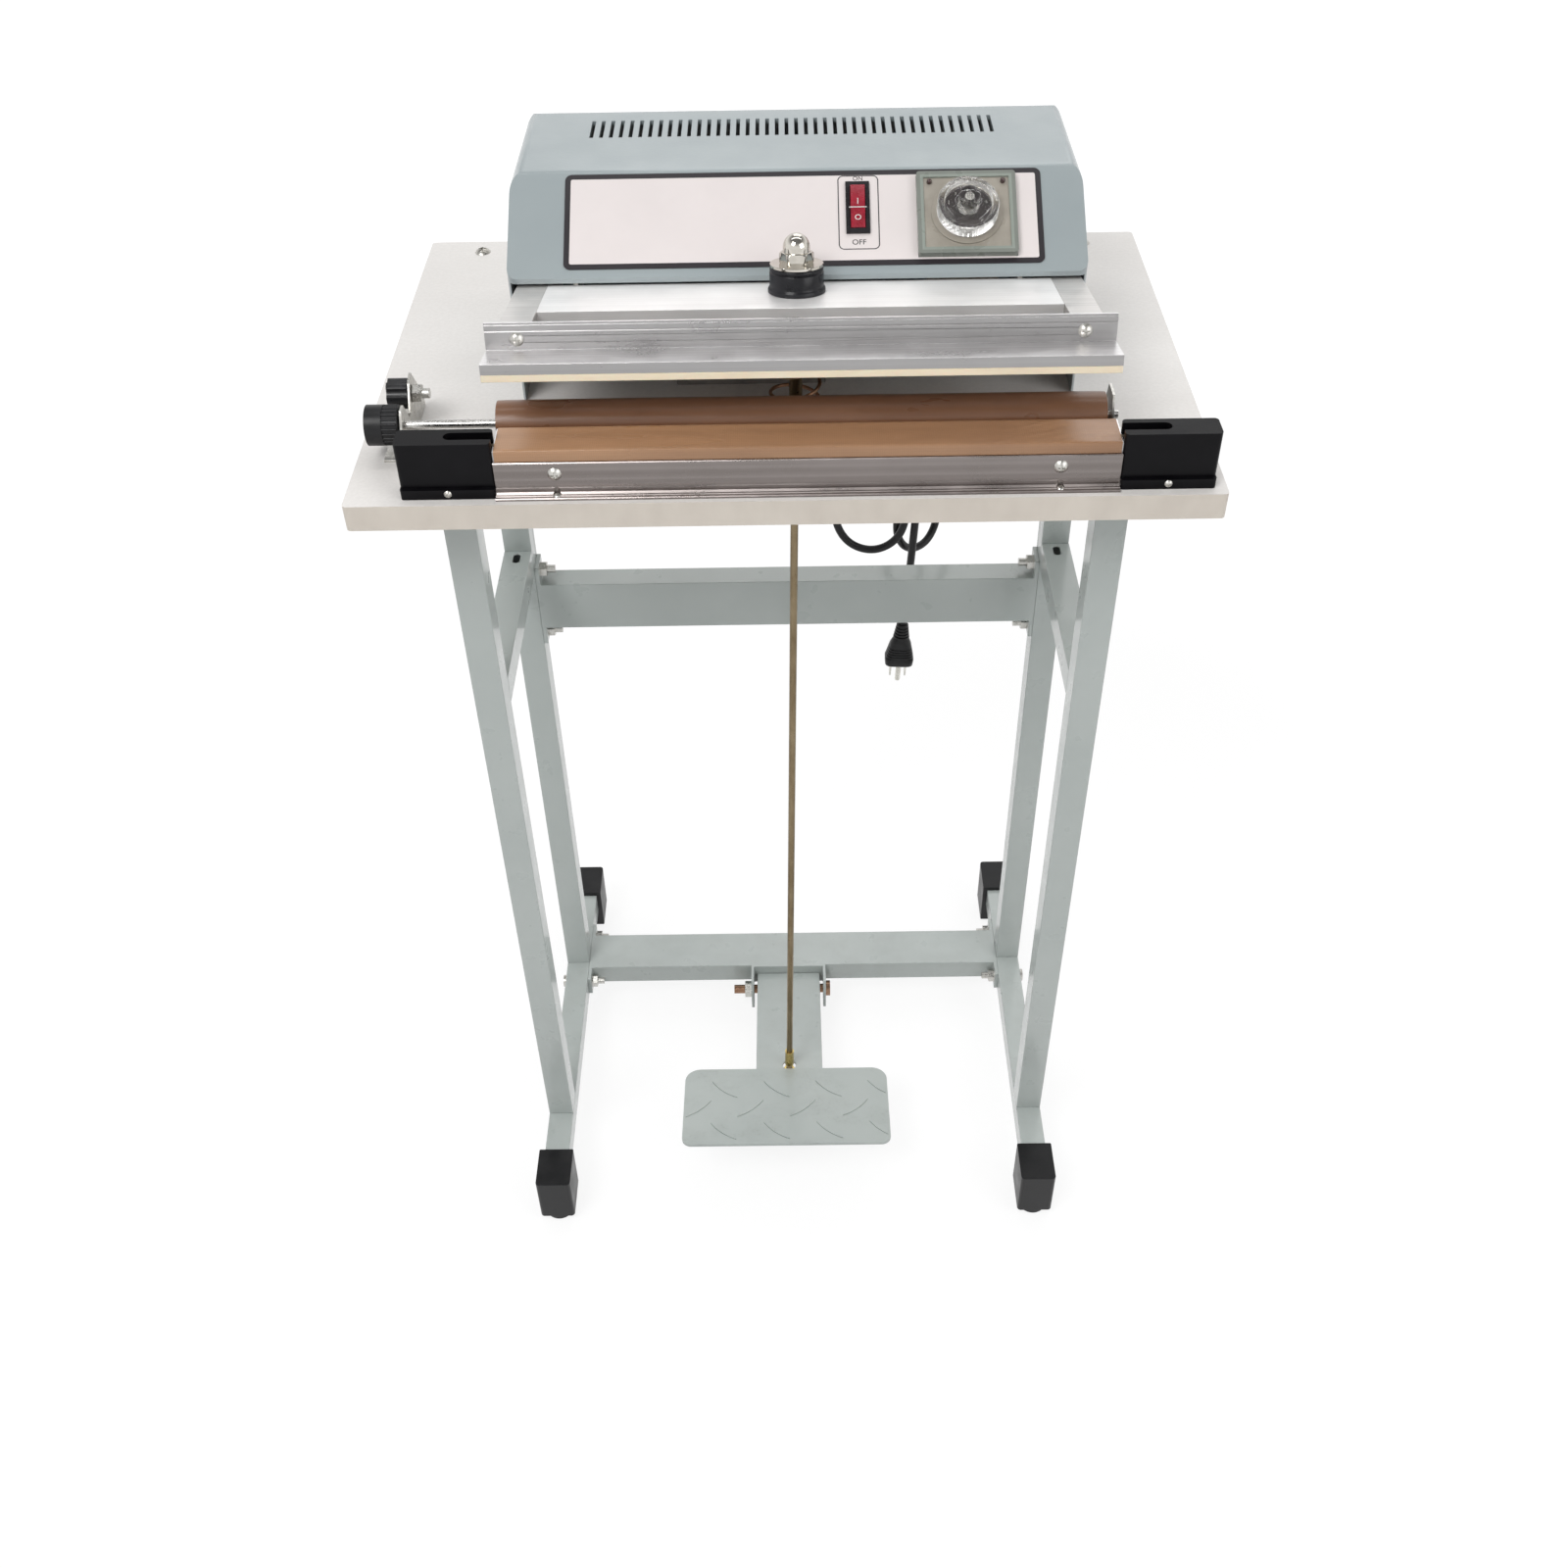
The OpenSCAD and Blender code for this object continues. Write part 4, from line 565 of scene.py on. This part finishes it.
# The channel's underside is 137 mm before the hinge and 9 mm below it with the
# press shut. Open, it slopes down over the coil, which ends lower by as much.
reach, drop, coil_reach = 137, 9, 14.7
top_z = (hinge_z + reach * math.sin(open_angle) - drop * math.cos(open_angle)
         - coil_reach * math.tan(open_angle) - 0.4)
spring_y = hinge_y - reach * math.cos(open_angle) - drop * math.sin(open_angle) + 3
wire, coils = 2.2, 5
end_share, end_rise = 0.12, 1.32
climb = top_z - wire
coil = []
for i in range(241):
    t = i / 240
    r = 16 - 3.5 * t
    if t < end_share:
        rise = end_rise * t / end_share
    elif t > 1 - end_share:
        rise = climb - end_rise + end_rise * (t - 1 + end_share) / end_share
    else:
        rise = end_rise + (climb - 2 * end_rise) * (t - end_share) / (1 - 2 * end_share)
    turn = 2 * math.pi * coils * t
    coil.append(at(7.1 + r * math.cos(turn), spring_y + r * math.sin(turn), wire / 2 + rise))
spring = new_piece("return_spring", tube(coil, wire / 2000, 10), coppered)
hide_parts("press_spring")
at(7.1, spring_y, 0)
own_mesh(spring)

# ---- Pull rod ----
# A brown-passivated rod that hangs from the bush. A brass sleeve and a nut
# on its foot hold the pedal arm.
rod_steel, where, feed = new_finish("rod_passivate", metallic=1.0)
hue = where.grown(1, 1, 0.25).cloud(110, 5, 0.7).span(0.32, 0.7)
feed("Base Color", hue.mix((0.17, 0.125, 0.07), (0.29, 0.23, 0.145)))
feed("Roughness", where.cloud(300, 3).span(0.3, 0.7, 0.26, 0.42))
feed("Normal", where.grown(1, 1, 60).cloud(20, 2).bump(0.2, 0.00006))
dress(rod_steel, "pull_rod", edge=0)
brassy = plain_metal("brass", (0.46, 0.34, 0.12), (0.66, 0.52, 0.22), 0.36, 0.18,
                     patches=(150, 4), grain=(400, 4))
dress(brassy, "rod_fittings", edge=0.2)

# ---- Lower jaw ----
# An extruded bar screwed to the table, an angle strip along its front, and
# the heating strip stretched between the two black end blocks.
dress(jaw_metal, "lower_bar", edge=0.3)
# The strip's upright face is painted darker by shade: painted shade.
strip_metal = drawn("strip_aluminium", (0.44, 0.39, 0.37), (0.58, 0.52, 0.50), 0.25,
                    scratch=0.9, shade=0.46)
dress(strip_metal, "front_strip", edge=0.2)
dress(zinc, "strip_screws", edge=0.2)
nichrome = plain_metal("nichrome", (0.34, 0.28, 0.21), (0.56, 0.50, 0.42), 0.4, 0.26)
dress(nichrome, "heater_strip", edge=0)
block_plastic = moulded("block_plastic", (0.003, 0.0028, 0.0036), (0.006, 0.0056, 0.007), 0.34,
                        gloss=0.12)
dress(block_plastic, "left_end_block", "right_end_block", edge=0.6)

# Release cloth: coated glass cloth laid over the bar and led back to the roll.
cloth, where, feed = new_finish("coated_cloth", specular_ior_level=0.5, coat_weight=0.25,
                                coat_roughness=0.22)
thread_turns = 5200
warp = (where.along(1, 0, 0) * thread_turns).maths("SINE")
weft = (where.along(0, 0.7, 0.7) * thread_turns).maths("SINE")
burnt = where.grown(1, 4, 4).cloud(9, 4, 0.55).span(0.3, 0.8) * 0.8 + where.along(1.7, 0, 0)
tint = (burnt + 0.08).mix((0.47, 0.262, 0.138), (0.27, 0.140, 0.072))
tint = ((warp.maths("MAXIMUM", weft) > 0.93) * 0.22).mix(tint, (0.20, 0.10, 0.05))
feed("Base Color", (where.cloud(60, 5, 0.7).span(0.62, 0.85) * 0.4).mix(tint, (0.56, 0.36, 0.21)))
feed("Roughness", burnt.span(0, 1, 0.24, 0.40))
swells = where.grown(1, 2.4, 2.4).cloud(34, 3).bump(0.55, 0.0008)
feed("Normal", (warp + weft).bump(0.3, 0.00003, swells))
path = [(10.6, 21.2), (10.6, 24.5), (10.62, 27.2), (10.85, 27.9), (11.5, 28.12)]
path += [(11.5 + 24.4 * i / 16, 28.14) for i in range(1, 17)]
path += [(36.6, 27.9), (36.95, 27.2), (37.2, 24), (37.6, 18), (38.4, 13), (41, 10), (45, 7.2),
         (50, 6.2), (54.9, 5.9)]
# Heat has lifted it in low creases, most of all near its right end.
cloth_left, cloth_width = -162, 350
wave = bmesh.new()
rows = []
for i in range(201):
    x = cloth_left + cloth_width * i / 200
    row = []
    for k, (y, z) in enumerate(path):
        lift = 0
        if 4 < k < 21:  # the part that lies over the bar
            near = math.exp(-((x - 150) / 34) ** 2) + 0.35 * math.exp(-((x + 120) / 40) ** 2)
            lift = 0.50 * near * max(0, noise.noise(Vector(((x - 3 * y) / 11, y / 30, 3))))
            lift += 0.06 * noise.noise(Vector((x / 18, y / 9, 1)))
        row.append(wave.verts.new(at(x, y, z + max(lift, -0.04))))
    rows.append(row)
for first, second in zip(rows, rows[1:]):
    for k in range(len(path) - 1):
        wave.faces.new((first[k], first[k + 1], second[k + 1], second[k]))
bar_cloth = new_piece("bar_cloth", wave, cloth, smooth=60)
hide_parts("release_cloth")

# ---- Cloth roll ----
# Spare release cloth wound on a steel spindle between two plated brackets.
# The left bracket also holds a lobed clamping screw that locks the knob.
roll_cloth, where, feed = new_finish("wound_cloth", specular_ior_level=0.45, coat_weight=0.15,
                                     coat_roughness=0.25)
roll_y, roll_z = 56, 19.5
across_roll = where.from_place(at(10, roll_y, roll_z)).grown(0, 1, 1)
radius = across_roll.node("VectorMath", {0: across_roll}, "Value", operation="LENGTH")
wraps = (radius * 9000).maths("SINE")
weave = (where.along(1, 0, 0) * thread_turns).maths("SINE")
shade = where.grown(1, 3, 3).cloud(10, 4, 0.55).span(0.35, 0.7)
feed("Base Color", shade.mix((0.190, 0.089, 0.046), (0.255, 0.125, 0.067)))
feed("Roughness", shade.span(0, 1, 0.26, 0.42))
feed("Normal", wraps.bump(0.35, 0.0001, weave.bump(0.2, 0.00003)))
roll_left, roll_right = -165, 185
rings = []
for i in range(121):
    t = i / 120
    x = roll_left + (roll_right - roll_left) * t
    ring = []
    for k in range(72):
        a = 2 * math.pi * k / 72
        r = 13.25 - 0.25 * k / 72 + 0.12 * noise.noise(Vector((x / 30, math.cos(a), math.sin(a))))
        r -= 0.25 * math.exp(-min(t, 1 - t) * 90)
        ring.append(at(x, roll_y + r * math.cos(a), roll_z + r * math.sin(a)))
    rings.append(ring)
turns = [2 * math.pi * k / 72 for k in range(72)]
for x, inward in ((roll_left, 1), (roll_right, -1)):
    core = [[at(x + sunk * inward, roll_y + r * math.cos(a), roll_z + r * math.sin(a))
             for a in turns] for r, sunk in ((9, 0), (6, 0), (5.6, 0.8), (2.6, 0.8))]
    rings = core[::-1] + rings if inward > 0 else rings + core
wound = new_piece("wound_roll", ring_mesh(rings, closed_ends=False), roll_cloth,
                  "cloth_roll", smooth=45)
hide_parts("cloth_roll")
dress(steel, "roll_spindle", edge=0.3)
dress(zinc, "left_roll_bracket", "right_roll_bracket", edge=0.3)
knob_plastic = moulded("knob_plastic", (0.008, 0.008, 0.009), (0.020, 0.020, 0.022), 0.36)
dress(knob_plastic, "roll_knob", edge=0.5)
clamp, where, feed = new_finish("clamp_screw")
knob_end = -0.2208
metal = where.along(1, 0, 0) > knob_end
grain = where.cloud(90, 4).span(0.3, 0.7)
feed("Metallic", metal)
feed("Base Color", metal.mix(grain.mix((0.008, 0.008, 0.009), (0.020, 0.020, 0.022)),
                             grain.mix((0.52, 0.51, 0.48), (0.68, 0.67, 0.64))))
feed("Roughness", where.cloud(260, 4).span(0.3, 0.7, 0.24, 0.40))
dress(clamp, "clamp_knob", edge=0.3)

# ---- Control housing ----
# One folded steel sheet in a grey-blue textured enamel, with cooling slots
# across its top, screwed to the table from below.
housing_paint, where, feed = new_finish("housing_enamel", specular_ior_level=0.5, coat_weight=0.6,
                                        coat_roughness=0.14)
broad = where.cloud(8, 4, 0.6).span(0.3, 0.7)
wear = where.grown(1, 2, 2).cloud(60, 6, 0.75).span(0.66, 0.76)
feed("Base Color", (wear * 0.3).mix(broad.mix((0.275, 0.320, 0.333), (0.312, 0.355, 0.366)),
                                    (0.24, 0.27, 0.275)))
feed("Roughness", where.cloud(50, 3).span(0.3, 0.7, 0.34, 0.46))
feed("Normal", where.cloud(420, 2).bump(0.28, 0.00025))
dress(housing_paint, "control_housing", edge=0.5)

# The label: printed film on the sloping panel, with rounded frames printed in
# black: one round its edge and one round the switch.
rise = math.atan2(39, 59.6)
panel_foot = at(0, 114, 80)
panel = Matrix.Translation(panel_foot) @ Matrix.Rotation(rise, 4, "X") @ Matrix.Scale(0.001, 4)


def on_panel(where):
    """The place in mm across the panel, up its slope and out from it."""
    local = where.from_place(panel_foot)
    return (local.along(1, 0, 0) * 1000,
            local.along(0, math.cos(rise), math.sin(rise)) * 1000,
            local.along(0, -math.sin(rise), math.cos(rise)) * 1000)


film, where, feed = new_finish("label_film", specular_ior_level=0.5)
over, up, _ = on_panel(where)
lines = []
for x0, x1, s0, s1, corner, width in ((-127, 153, 5.5, 68.2, 4.5, 3.3),
                                      (33.6, 57.3, 15.9, 64.6, 3.2, 0.45)):
    # How far a place is past each pair of sides, and how far past a corner's middle.
    past_x = (over - (x0 + x1) / 2).maths("ABSOLUTE") - (x1 - x0) / 2
    past_s = (up - (s0 + s1) / 2).maths("ABSOLUTE") - (s1 - s0) / 2
    dx, ds = ((past + corner).maths("MAXIMUM", 0) for past in (past_x, past_s))
    in_corner = (dx * dx + ds * ds).maths("SQRT") - corner
    edge_gap = past_x.maths("MAXIMUM", past_s).maths("MAXIMUM", in_corner)
    lines.append((edge_gap > -width) * (edge_gap < 0.2))
printed = lines[0].maths("MAXIMUM", lines[1])
haze = where.cloud(16, 5, 0.6).span(0.35, 0.75)
paper = haze.mix((0.735, 0.678, 0.668), (0.69, 0.636, 0.626))
feed("Base Color", printed.mix(paper, (0.022, 0.018, 0.022)))
feed("Roughness", haze.span(0, 1, 0.28, 0.42))
feed("Normal", where.cloud(800, 2).bump(0.15, 0.00005))
dress(film, "label_plate", edge=0.15)

ink = moulded("ink", (0.018, 0.015, 0.018), (0.028, 0.024, 0.028), 0.4, 0.00001)


def mark(name, words, x, s, size, finish, height=0.62, place=panel,
         body="stand"):
    """Printed letters or numbers, centred at (x, s) on a face, a hair proud of it."""
    letters = bpy.data.curves.new(name, "FONT")
    letters.body, letters.size = words, size
    letters.align_x, letters.align_y = "CENTER", "CENTER"
    letters.extrude, letters.offset = 0.02, 0.004 * size
    text = bpy.data.objects.new(name, letters)
    text.matrix_world = place @ Matrix.Translation((x, s, height))
    bpy.context.scene.collection.objects.link(text)
    letters.materials.append(finish)
    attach(text, body)


mark("on_mark", "ON", 45.4, 62.6, 3.8, ink)
mark("off_mark", "OFF", 45.4, 20.4, 4.8, ink)

# The switch: a red rocker in a black bezel.
bezel = moulded("switch_bezel", (0.009, 0.008, 0.010), (0.017, 0.016, 0.019), 0.28)
dress(bezel, "switch_bezel", edge=0.5)
red, where, feed = new_finish("rocker_red", specular_ior_level=0.55, subsurface_weight=0.1,
                              subsurface_scale=0.002)
hue = where.cloud(140, 3).span(0.3, 0.7)
feed("Base Color", hue.mix((0.26, 0.008, 0.022), (0.36, 0.014, 0.034)))
feed("Roughness", where.cloud(240, 3).span(0.3, 0.7, 0.2, 0.34))
dress(red, "switch_rocker", edge=0.5)
chalk = moulded("white_ink", (0.62, 0.60, 0.58), (0.74, 0.72, 0.70), 0.5, 0.00001)
rocker = panel @ Matrix.Translation((45, 43, -1)) @ Matrix.Rotation(math.radians(5), 4, "X")
valley, end_lift, half_length = 3.2, 1.6, 34 / 2 - 4.6
for name, words, s, tilt in (("rocker_one", "I", 3.4, 7.28), ("rocker_nought", "O", -7.0, -7.28)):
    face = rocker @ Matrix.Translation((0, s, valley + end_lift * abs(s) / half_length))
    face = face @ Matrix.Rotation(math.radians(tilt), 4, "X")
    mark(name, words, 0, 0, 5.0, chalk, 0.05, face, "switch_rocker")

# A thin white line across the middle of the rocker, where its two halves meet: a painted highlight,
# drawn in the white ink.
highlight_line = box(rocker, (-5.2, 5.2), (-0.3, 0.3), (3.18, 3.33))
new_piece("rocker_highlight_line", highlight_line, chalk, "switch_rocker", smooth=False)

# The timer: a plate with a sunk face, a dial of plain numbers and a clear
# ribbed knob that turns over it, with two lamps in the plate's corners.
timer_x, timer_s = 108.5, 37
dial_face = panel @ Matrix.Translation((timer_x, timer_s, 4.8))
knob_seat = panel @ Matrix.Translation((timer_x, timer_s, 5))


def timer_beige(where):
    return where.cloud(60, 5, 0.65).span(0.3, 0.7).mix((0.29, 0.265, 0.222),
                                                       (0.37, 0.338, 0.288))


plate, where, feed = new_finish("timer_plate", specular_ior_level=0.5)
over, up, out = on_panel(where)
over, up = (over - timer_x).maths("ABSOLUTE"), (up - timer_s).maths("ABSOLUTE")
face = (over < 24.9) * (up < 22.9) * (out < 4.5)
step = (over < 26.8) * (up < 24.8)
green = where.cloud(30, 4).span(0.3, 0.7)
green = step.mix(green.mix((0.175, 0.190, 0.168), (0.205, 0.222, 0.198)),
                 green.mix((0.235, 0.268, 0.232), (0.270, 0.302, 0.268)))
feed("Base Color", face.mix(green, timer_beige(where)))
feed("Roughness", where.cloud(90).span(0.3, 0.7, 0.25, 0.4))
feed("Normal", where.cloud(700).bump(0.2, 0.00005))
dress(plate, "timer_frame", edge=0.6)
dial, where, feed = new_finish("dial_print", specular_ior_level=0.4)
disc_radius = 0.0163
gap = where.node("VectorMath", {0: where, 1: tuple(dial_face.translation)}, "Value",
                 operation="DISTANCE")
feed("Base Color", (gap < disc_radius).mix(timer_beige(where), (0.050, 0.040, 0.045)))
feed("Roughness", where.cloud(90).span(0.3, 0.7, 0.28, 0.42))
dress(dial, "timer_dial", edge=0.15)
first_mark, sweep, number_r = 225, 270, 12.2
for i in range(9):
    a = math.radians(first_mark - sweep * i / 8)
    mark("dial_%d" % i, str(i), number_r * math.cos(a), number_r * math.sin(a), 3.0, chalk, 0.05,
         dial_face)
ticks = bmesh.new()
for i in range(65):
    a = math.radians(first_mark - sweep * i / 64)
    inner_r = 14.2 if i % 8 == 0 else 15.0
    box(dial_face @ Matrix.Rotation(a, 4, "Z"), (inner_r, 16.1), (-0.1, 0.1), (0.0, 0.05), ticks)
new_piece("dial_ticks", ticks, chalk, smooth=False)
clear, where, feed = new_finish("clear_plastic", transmission_weight=1.0, ior=1.49)
feed("Base Color", where.cloud(60, 3).span(0.3, 0.7).mix((0.95, 0.94, 0.91), (0.99, 0.985, 0.97)))
feed("Roughness", where.cloud(300, 4).span(0.4, 0.8, 0.01, 0.07))
# A ribbed skirt, a plain wall inside it, and the grip in the middle.
knob_points, rib_count, rib_height = 480, 80, 0.28
sections = [(17.7 * scale, rib_height * scale, lift) for scale, lift in (
    (0.955, 0.15), (0.985, 0.5), (1, 1.0), (1, 7.9), (0.985, 8.6), (0.95, 9.0))]
sections += [(17.6 * scale, 0, lift) for scale, lift in (
    (0.84, 9.0), (0.80, 8.7), (0.785, 8.0), (0.78, 6.4), (0.76, 6.05))]
sections += [(r, 0, lift) for r, lift in (
    (6.9, 6.0), (6.5, 6.3), (6.3, 15.6), (6.0, 16.6), (5.2, 17.0), (1.2, 17.0))]
shell = []
for mean, rib, lift in sections:
    ring = []
    for k in range(knob_points):
        a = 2 * math.pi * k / knob_points
        r = mean + rib * math.cos(rib_count * a)
        ring.append(knob_seat @ Vector((r * math.cos(a), r * math.sin(a), lift)))
    shell.append(ring)
knob = new_piece("clear_knob", ring_mesh(shell), clear, "timer_knob", smooth=50)
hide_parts("timer_knob")
stem_profile = [(3, -8), (3, 5.9), (2.6, 6.2), (2.6, 14), (2, 14.6)]
new_piece("knob_stem", turned(stem_profile, knob_seat @ Matrix.Scale(1000, 4), 48), steel,
          "timer_knob")
pointer = box(knob_seat, (-0.4, 0.4), (8, 15.6), (0.6, 0.9))
new_piece("knob_line", pointer, chalk, "timer_knob", smooth=False)
lens, where, feed = new_finish("lamp_lens", specular_ior_level=0.6, coat_weight=0.5)
hue = where.cloud(300, 2).span(0.3, 0.7)
feed("Base Color", hue.mix((0.035, 0.014, 0.013), (0.07, 0.026, 0.023)))
feed("Roughness", where.cloud(400, 2).span(0.3, 0.7, 0.12, 0.24))
dress(lens, "indicator_lamps", edge=0)

# ---- Inside the housing ----
# A laminated transformer, and the switch that the left arm presses when the
# jaws meet. They show only through the open front.
laminations, where, feed = new_finish("laminations", specular_ior_level=0.4)
stack = (where.along(0, 1, 0) * 9000).maths("SINE")
feed("Base Color", where.cloud(50, 4).span(0.3, 0.7).mix((0.21, 0.205, 0.195), (0.33, 0.32, 0.31)))
feed("Roughness", where.cloud(80).span(0.3, 0.7, 0.4, 0.6))
feed("Normal", stack.bump(0.4, 0.0001))
dress(laminations, "transformer", edge=0.5)
dress(knob_plastic, "limit_switch", edge=0.3)

# ---- Floor, backdrop and lamps ----
# A white floor that keeps the object's shadow, a white surround, and broad
# soft lamps above the operator and to both sides.


def looked_at(start):
    """1 for what the camera sees, by itself, in a shiny face or through clear plastic."""
    camera_ray, glossy, through = (start.node("LightPath", out="Is %s Ray" % kind)
                                   for kind in ("Camera", "Glossy", "Transmission"))
    return camera_ray.maths("MAXIMUM", glossy).maths("MAXIMUM", through)


floor_mesh = bmesh.new()
bmesh.ops.create_grid(floor_mesh, x_segments=1, y_segments=1, size=12)
floor_data = bpy.data.meshes.new("floor")
floor_mesh.to_mesh(floor_data)
floor_mesh.free()
floor = bpy.data.objects.new("floor", floor_data)
bpy.context.scene.collection.objects.link(floor)
pale = bpy.data.materials.new("pale_floor")
pale.use_nodes = True
tree = pale.node_tree
tree.nodes.clear()
start = Tone(tree)
seen = looked_at(start)
matt = start.node("BsdfDiffuse", {"Color": (0.8, 0.8, 0.8, 1)})
white = start.node("Emission", {"Color": (1, 1, 1, 1), "Strength": 1.12})
away = start.node("VectorMath", {0: start.node("TexCoord", out="Object")}, "Value",
                  operation="LENGTH")
cover = start.node("MixShader", {0: seen * away.span(0.7, 2.2, 0.75, 1.0), 1: matt, 2: white})
surface = tree.nodes.new("ShaderNodeOutputMaterial")
tree.links.new(cover.socket, surface.inputs["Surface"])
floor_data.materials.append(pale)

world = bpy.data.worlds.new("surround")
bpy.context.scene.world = world
world.use_nodes = True
tree = world.node_tree
tree.nodes.clear()
start = Tone(tree)
seen = looked_at(start)
way = start.node("TexCoord", out="Generated")
glow = way.along(0, 0.35, 0.94).span(0.0, 0.9, 0.16, 0.66)
soft = start.node("Background", {"Color": (1, 1, 1, 1), "Strength": glow})
backdrop = way.along(0, 0, 1).span(0.38, 0.80, 1.0, 0.22)
white = start.node("Background", {"Color": (1, 1, 1, 1), "Strength": backdrop})
sky = start.node("MixShader", {0: seen, 1: soft, 2: white})
surface = tree.nodes.new("ShaderNodeOutputWorld")
tree.links.new(sky.socket, surface.inputs["Surface"])

for name, place, target, width, depth, power in (
    ("key_lamp", (-1.0, -1.4, 2.5), (0, 0, 0.6), 1.1, 1.1, 30),
    ("fill_lamp", (1.6, -1.3, 1.7), (0, 0, 0.5), 1.4, 1.4, 13),
    ("back_lamp", (0.2, 1.6, 2.3), (0, 0, 0.6), 1.4, 1.4, 8),
    ("strip_lamp", (0.0, 0.28, 2.4), (0, 0.05, 0.75), 2.2, 0.12, 5),
):
    lamp = bpy.data.lights.new(name, "AREA")
    lamp.energy, lamp.shape, lamp.size, lamp.size_y = power, "RECTANGLE", width, depth
    holder = bpy.data.objects.new(name, lamp)
    holder.location = place
    holder.rotation_euler = (Vector(target) - Vector(place)).to_track_quat("-Z", "Y").to_euler()
    bpy.context.scene.collection.objects.link(holder)
bpy.context.scene.view_settings.view_transform = "Standard"

at(*cord_route[0])
